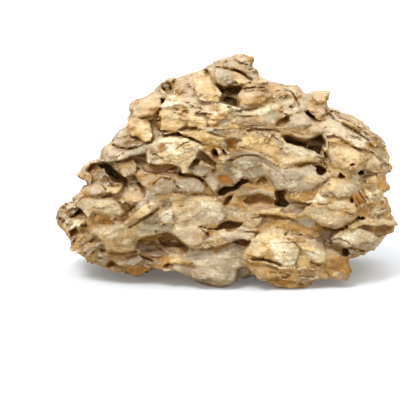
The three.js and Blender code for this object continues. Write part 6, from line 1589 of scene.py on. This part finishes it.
def tint(points):
    """The colour of the surface at each point, as linear light, and how much painted shadow it gets near a
    plate's edge or in a crack.
    """
    x, y, z = points
    u, v = place_on_view(x, y, z)
    cushion, behind, _, _ = cushion_of(x, y, z, u, v)
    bed = bedding(x, y, z)
    _, ledge_key = scale_relief(x, y, bed, LEDGES)
    _, scale_key = scale_relief(x, y, bed, SCALES)
    kinds = np.stack([tone_pair(name) for name in GROUND_TONES])
    pick = lambda key: (scramble(key ^ TONE_KEY) * len(kinds)).astype(int)
    pair = mix(kinds[pick(ledge_key)], kinds[pick(scale_key)], SCALE_SHARE)
    du, dv = ragged_shift(x, y, z)
    # painted shadow: dark under each plate's lower edge and faint along its upper edge
    edge_shadow = np.zeros_like(x)
    for plates, weight, (across, up) in plate_sets(x, y, z, behind):
        drawn, lines = pair.copy(), edge_shadow.copy()
        for plate, near, cover, inside, middle in plate_layers(plates, across + du, up + dv, cushion):
            drawn[near] = mix(drawn[near], tone_pair(plate[4]), cover[:, None])
            low_edge = smoothstep(*EDGE_SHADOW_TURN, middle - up[near])
            line = np.exp(-((inside / EDGE_SHADOW_WIDTH) ** 2)) * mix(EDGE_SHADOW_ABOVE, 1, low_edge)
            lines[near] = mix(lines[near], line, cover)
        pair = mix(pair, drawn, weight[:, None])
        edge_shadow = mix(edge_shadow, lines, weight)
    # and painted shade in the cracks
    cracks = crack_depth(u + LINE_WANDER * du, v + LINE_WANDER * dv)
    edge_shadow = np.maximum(edge_shadow, smoothstep(*CRACK_SHADE, cracks))
    flat_z = MOTTLE_FLATNESS * z
    mottle = wave(x, y, flat_z, MOTTLES[0]) + wave(x, y, flat_z, MOTTLES[1]) + wave(x, y, z, FINE_MOTTLE)
    second = smoothstep(*MOTTLE_RANGE, mottle)[:, None]
    return np.concatenate([mix(pair[:, :3], pair[:, 3:], second).T, edge_shadow[None]])


def enclosure(points, normals, function):
    """How much each point is shut in by the surface around it, from 0 to 1, near and wide, and how
    much it stands out as an edge."""
    near = in_chunks(function, points + NEAR_REACH * normals)
    wide = in_chunks(function, points + WIDE_REACH * normals)
    under = in_chunks(function, points - UNDER_REACH * normals)
    return (
        np.clip(1 - near / NEAR_REACH, 0, 1),
        np.clip(1 - wide / WIDE_REACH, 0, 1),
        np.clip(1 + under / UNDER_REACH, 0, 1),
    )


def attribute(mesh, name, values):
    mesh.attributes.new(name, "FLOAT", "POINT").data.foreach_set("value", values.astype(np.float32))


def stone_mesh():
    """The stone's mesh, with its colour, its painted edge shadow and how shut in it is stored on its points.
    """
    outline_map = OutlineMap(TOP_OUTLINE + BOTTOM_OUTLINE)
    field = lambda points: stone(points.astype(np.float32), outline_map)
    low, high = (np.array(corner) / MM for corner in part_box(NODE))
    low, high = low - MARGIN, high + MARGIN
    points, quads = surface_net(sample(field, low, high), low)
    points, quads = largest_piece(points, quads)
    points = smoothed(points, quads, SMOOTHING)
    points[:, 2] = np.maximum(points[:, 2], 0)
    mesh = thinned(mesh_of(points, quads), FACES)
    mesh.name = "stone_surface"

    count = len(mesh.vertices)
    places = np.empty(count * 3, np.float32)
    mesh.vertices.foreach_get("co", places)
    places = places.reshape(-1, 3).T / MM
    normals = np.empty(count * 3, np.float32)
    mesh.vertex_normals.foreach_get("vector", normals)
    normals = normals.reshape(-1, 3).T
    colour = np.ones((count, 4), np.float32)
    tints = in_chunks(tint, places.astype(np.float32))
    colour[:, :3] = tints[:3].T
    # the painted shadow along the plates' edges and in the cracks
    attribute(mesh, "edge_shadow", tints[3])
    mesh.attributes.new("tint", "FLOAT_COLOR", "POINT").data.foreach_set("color", colour.ravel())
    crease, shelter, ridge = enclosure(places, normals, field)
    attribute(mesh, "crease", crease)
    attribute(mesh, "shelter", shelter)
    attribute(mesh, "ridge", ridge)
    attribute(mesh, "upward", normals[2])
    mesh.polygons.foreach_set("use_smooth", np.ones(len(mesh.polygons), bool))
    mesh.set_sharp_from_angle(angle=SHARP_ANGLE)
    return mesh


class Nodes:
    """Short calls for the nodes of one material."""

    def __init__(self, tree):
        self.tree = tree

    def add(self, kind, **inputs):
        node = self.tree.nodes.new(kind)
        for name, value in inputs.items():
            self.feed(node.inputs[name.replace("_", " ")], value)
        return node

    def feed(self, socket, value):
        if isinstance(value, bpy.types.NodeSocket):
            self.tree.links.new(value, socket)
        else:
            socket.default_value = value

    def attribute(self, name, output="Fac"):
        node = self.tree.nodes.new("ShaderNodeAttribute")
        node.attribute_name = name
        return node.outputs[output]

    def noise(self, size, detail=3.0, roughness=0.55, stretch=(1, 1, 1)):
        """Noise from 0 to 1 with bumps of that size in metres."""
        place = self.tree.nodes.new("ShaderNodeTexCoord").outputs["Object"]
        mapping = self.add("ShaderNodeMapping", Vector=place, Scale=stretch)
        node = self.add(
            "ShaderNodeTexNoise", Vector=mapping.outputs["Vector"], Scale=1 / size,
            Detail=detail, Roughness=roughness,
        )
        return node.outputs["Fac"]

    def ramp(self, value, low, high, to_low=0.0, to_high=1.0):
        node = self.add("ShaderNodeMapRange", Value=value)
        node.interpolation_type = "SMOOTHSTEP"
        for name, number in (("From Min", low), ("From Max", high), ("To Min", to_low), ("To Max", to_high)):
            node.inputs[name].default_value = number
        return node.outputs["Result"]

    def math(self, operation, a, b):
        node = self.tree.nodes.new("ShaderNodeMath")
        node.operation = operation
        self.feed(node.inputs[0], a)
        self.feed(node.inputs[1], b)
        return node.outputs[0]

    def blend(self, a, b, factor, blend_type="MIX"):
        node = self.tree.nodes.new("ShaderNodeMix")
        node.data_type = "RGBA"
        node.blend_type = blend_type
        self.feed(node.inputs["Factor"], factor)
        self.feed(node.inputs["A"], a)
        self.feed(node.inputs["B"], b)
        return node.outputs["Result"]


def rgba(colour):
    return (*linear(colour), 1.0)


def stained(nodes, colour, stain):
    """The colour with a stain that follows a pattern."""
    stain_colour, pattern, pattern_range, strength = stain
    amount = nodes.ramp(nodes.noise(*pattern), *pattern_range, 0.0, strength)
    return nodes.blend(colour, rgba(stain_colour), amount)


def placed(nodes, colour, place):
    """The colour with another where the mesh stores a value in a range."""
    place_colour, value, value_range, strength = place
    amount = nodes.ramp(nodes.attribute(value), *value_range, 0.0, strength)
    return nodes.blend(colour, rgba(place_colour), amount)


def mottled_colour(nodes):
    """The stored colour with stains, grain, hairlines and specks."""
    colour = nodes.attribute("tint", "Color")
    for stain in STAINS:
        colour = stained(nodes, colour, stain)
    grain = nodes.ramp(nodes.noise(*GRAIN), *GRAIN_RANGE, *GRAIN_LIGHT)
    colour = nodes.blend(colour, grain, 1.0, "MULTIPLY")
    colour = nodes.blend(colour, CLAY_FILTER, 1.0, "MULTIPLY")
    for pattern, width in HAIRLINES:
        off_middle = nodes.math("SUBTRACT", nodes.noise(*pattern), 0.5)
        off_line = nodes.math("ABSOLUTE", off_middle, 0.0)
        line = nodes.ramp(off_line, 0.0, width, HAIRLINE_STRENGTH, 0.0)
        colour = nodes.blend(colour, rgba(HAIRLINE_COLOUR), line)
    return stained(nodes, colour, SPECKS)


def shaded_and_worn_colour(nodes, colour):
    """The colour with painted light on upward faces, painted shade under overhangs, in sheltered hollows,
    along the plates' edges, in cracks and in the creases, and pale ridges, partly worn and partly painted
    highlight.
    """
    # painted light on upward faces, painted shade on downward faces and warm painted shade in sheltered
    # hollows
    for place in (LIT_TOP, UNDERSIDE_SHADE, SHELTER_WARM_SHADE):
        colour = placed(nodes, colour, place)

    # painted shadow along the plates' edges and in the cracks, broken up by a pattern
    pattern, pattern_range, amounts = EDGE_SHADOW_PATTERN
    edge_shadow_patch = nodes.ramp(nodes.noise(*pattern), *pattern_range, *amounts)
    edge_shadow = nodes.math("MULTIPLY", nodes.attribute("edge_shadow"), edge_shadow_patch)
    colour = nodes.blend(colour, rgba(EDGE_SHADOW_COLOUR), edge_shadow)

    # pale ridges: partly worn edges, partly painted highlight
    worn_highlight = nodes.math("MULTIPLY", nodes.ramp(nodes.attribute("ridge"), *WORN_HIGHLIGHT_RANGE), WORN_HIGHLIGHT_STRENGTH)
    colour = nodes.blend(colour, rgba(WORN_HIGHLIGHT_COLOUR), worn_highlight)

    # painted shade in the creases, broken up by a pattern
    pattern, pattern_range, amounts = CREASE_SHADE_PATTERN
    crease_shade_patch = nodes.ramp(nodes.noise(*pattern), *pattern_range, *amounts)
    creases = nodes.ramp(nodes.attribute("crease"), *CREASE_SHADE_RANGE, 0.0, CREASE_SHADE_STRENGTH)
    crease_shade = nodes.math("MULTIPLY", creases, crease_shade_patch)
    colour = nodes.blend(colour, rgba(CREASE_SHADE_COLOUR), crease_shade)
    # darker painted shade deep in sheltered hollows
    return placed(nodes, colour, SHADE)


def stone_material():
    """Dry, mottled clay stone: painted shade in the creases and hollows, painted light on upward faces, pale
    edges that are partly worn and partly painted highlight, and fine grain.
    """
    material = bpy.data.materials.new("clay_stone")
    material.use_nodes = True
    tree = material.node_tree
    tree.nodes.clear()
    nodes = Nodes(tree)

    colour = mottled_colour(nodes)
    colour = shaded_and_worn_colour(nodes, colour)

    bump = nodes.add(
        "ShaderNodeBump", Height=nodes.noise(*BUMP_PATTERN), Strength=BUMP_STRENGTH, Distance=BUMP_HEIGHT,
    )
    shader = nodes.add("ShaderNodeBsdfPrincipled", Roughness=CLAY_ROUGHNESS, Base_Color=colour)
    shader.inputs["Specular IOR Level"].default_value = CLAY_SPECULAR
    nodes.feed(shader.inputs["Normal"], bump.outputs["Normal"])
    output = tree.nodes.new("ShaderNodeOutputMaterial")
    tree.links.new(shader.outputs["BSDF"], output.inputs["Surface"])
    return material


def build_stone():
    stone_object = bpy.data.objects.new("stone_surface", stone_mesh())
    bpy.context.collection.objects.link(stone_object)
    stone_object.data.materials.append(stone_material())
    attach(stone_object, "root")
    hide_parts(NODE)


def build_floor():
    bpy.ops.mesh.primitive_plane_add(size=FLOOR_SIZE)
    floor = bpy.context.object
    floor.name = "floor"
    material = bpy.data.materials.new("white_floor")
    material.use_nodes = True
    shader = material.node_tree.nodes["Principled BSDF"]
    shader.inputs["Base Color"].default_value = FLOOR_COLOUR
    shader.inputs["Roughness"].default_value = FLOOR_ROUGHNESS
    shader.inputs["Specular IOR Level"].default_value = 0.0
    shader.inputs["Emission Color"].default_value = WHITE
    shader.inputs["Emission Strength"].default_value = FLOOR_GLOW
    floor.data.materials.append(material)
    floor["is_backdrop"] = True


def sun(name, towards, spread, strength):
    """A far light in that direction, that many degrees wide."""
    light = bpy.data.lights.new(name, "SUN")
    light.angle = math.radians(spread)
    light.energy = strength
    lamp = bpy.data.objects.new(name, light)
    lamp.rotation_euler = Vector(towards).to_track_quat("Z", "Y").to_euler()
    bpy.context.collection.objects.link(lamp)


def light_studio():
    """Soft light from above, a little to the left and in front, in a white room."""
    for settings in SUNS:
        sun(*settings)
    world = bpy.data.worlds.new("white_room")
    world.use_nodes = True
    nodes = Nodes(world.node_tree)
    backdrop = nodes.add("ShaderNodeBackground", Color=WHITE, Strength=BACKDROP_LIGHT)
    room = world.node_tree.nodes["Background"]
    room.inputs["Color"].default_value = WHITE
    room.inputs["Strength"].default_value = ROOM_LIGHT
    seen = world.node_tree.nodes.new("ShaderNodeLightPath").outputs["Is Camera Ray"]
    chosen = world.node_tree.nodes.new("ShaderNodeMixShader")
    nodes.feed(chosen.inputs[0], seen)
    nodes.feed(chosen.inputs[1], room.outputs[0])
    nodes.feed(chosen.inputs[2], backdrop.outputs[0])
    nodes.feed(world.node_tree.nodes["World Output"].inputs["Surface"], chosen.outputs[0])
    bpy.context.scene.world = world
    bpy.context.scene.view_settings.view_transform = "Standard"
    bpy.context.scene.view_settings.look = "None"


def place_camera():
    camera = bpy.data.cameras.new("camera")
    camera.sensor_width = SENSOR
    camera.lens = SENSOR * CAMERA_DISTANCE / PICTURE_WIDTH
    camera.clip_end = CLIP_END
    holder = bpy.data.objects.new("camera", camera)
    back = Vector((0, -math.cos(VIEW_ELEVATION), math.sin(VIEW_ELEVATION)))
    holder.location = CAMERA_AIM + back * CAMERA_DISTANCE
    holder.rotation_euler = (-back).to_track_quat("-Z", "Y").to_euler()
    bpy.context.collection.objects.link(holder)
    bpy.context.scene.camera = holder


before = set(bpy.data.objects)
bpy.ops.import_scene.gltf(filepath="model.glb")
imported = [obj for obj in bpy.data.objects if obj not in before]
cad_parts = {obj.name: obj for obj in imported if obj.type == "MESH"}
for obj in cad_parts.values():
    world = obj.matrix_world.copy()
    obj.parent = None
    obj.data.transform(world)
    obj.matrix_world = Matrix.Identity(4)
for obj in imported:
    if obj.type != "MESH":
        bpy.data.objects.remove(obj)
cad_box = [list(corner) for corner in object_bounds()]
build_stone()
build_floor()
light_studio()
place_camera()
visual_box = [list(corner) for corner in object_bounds()]
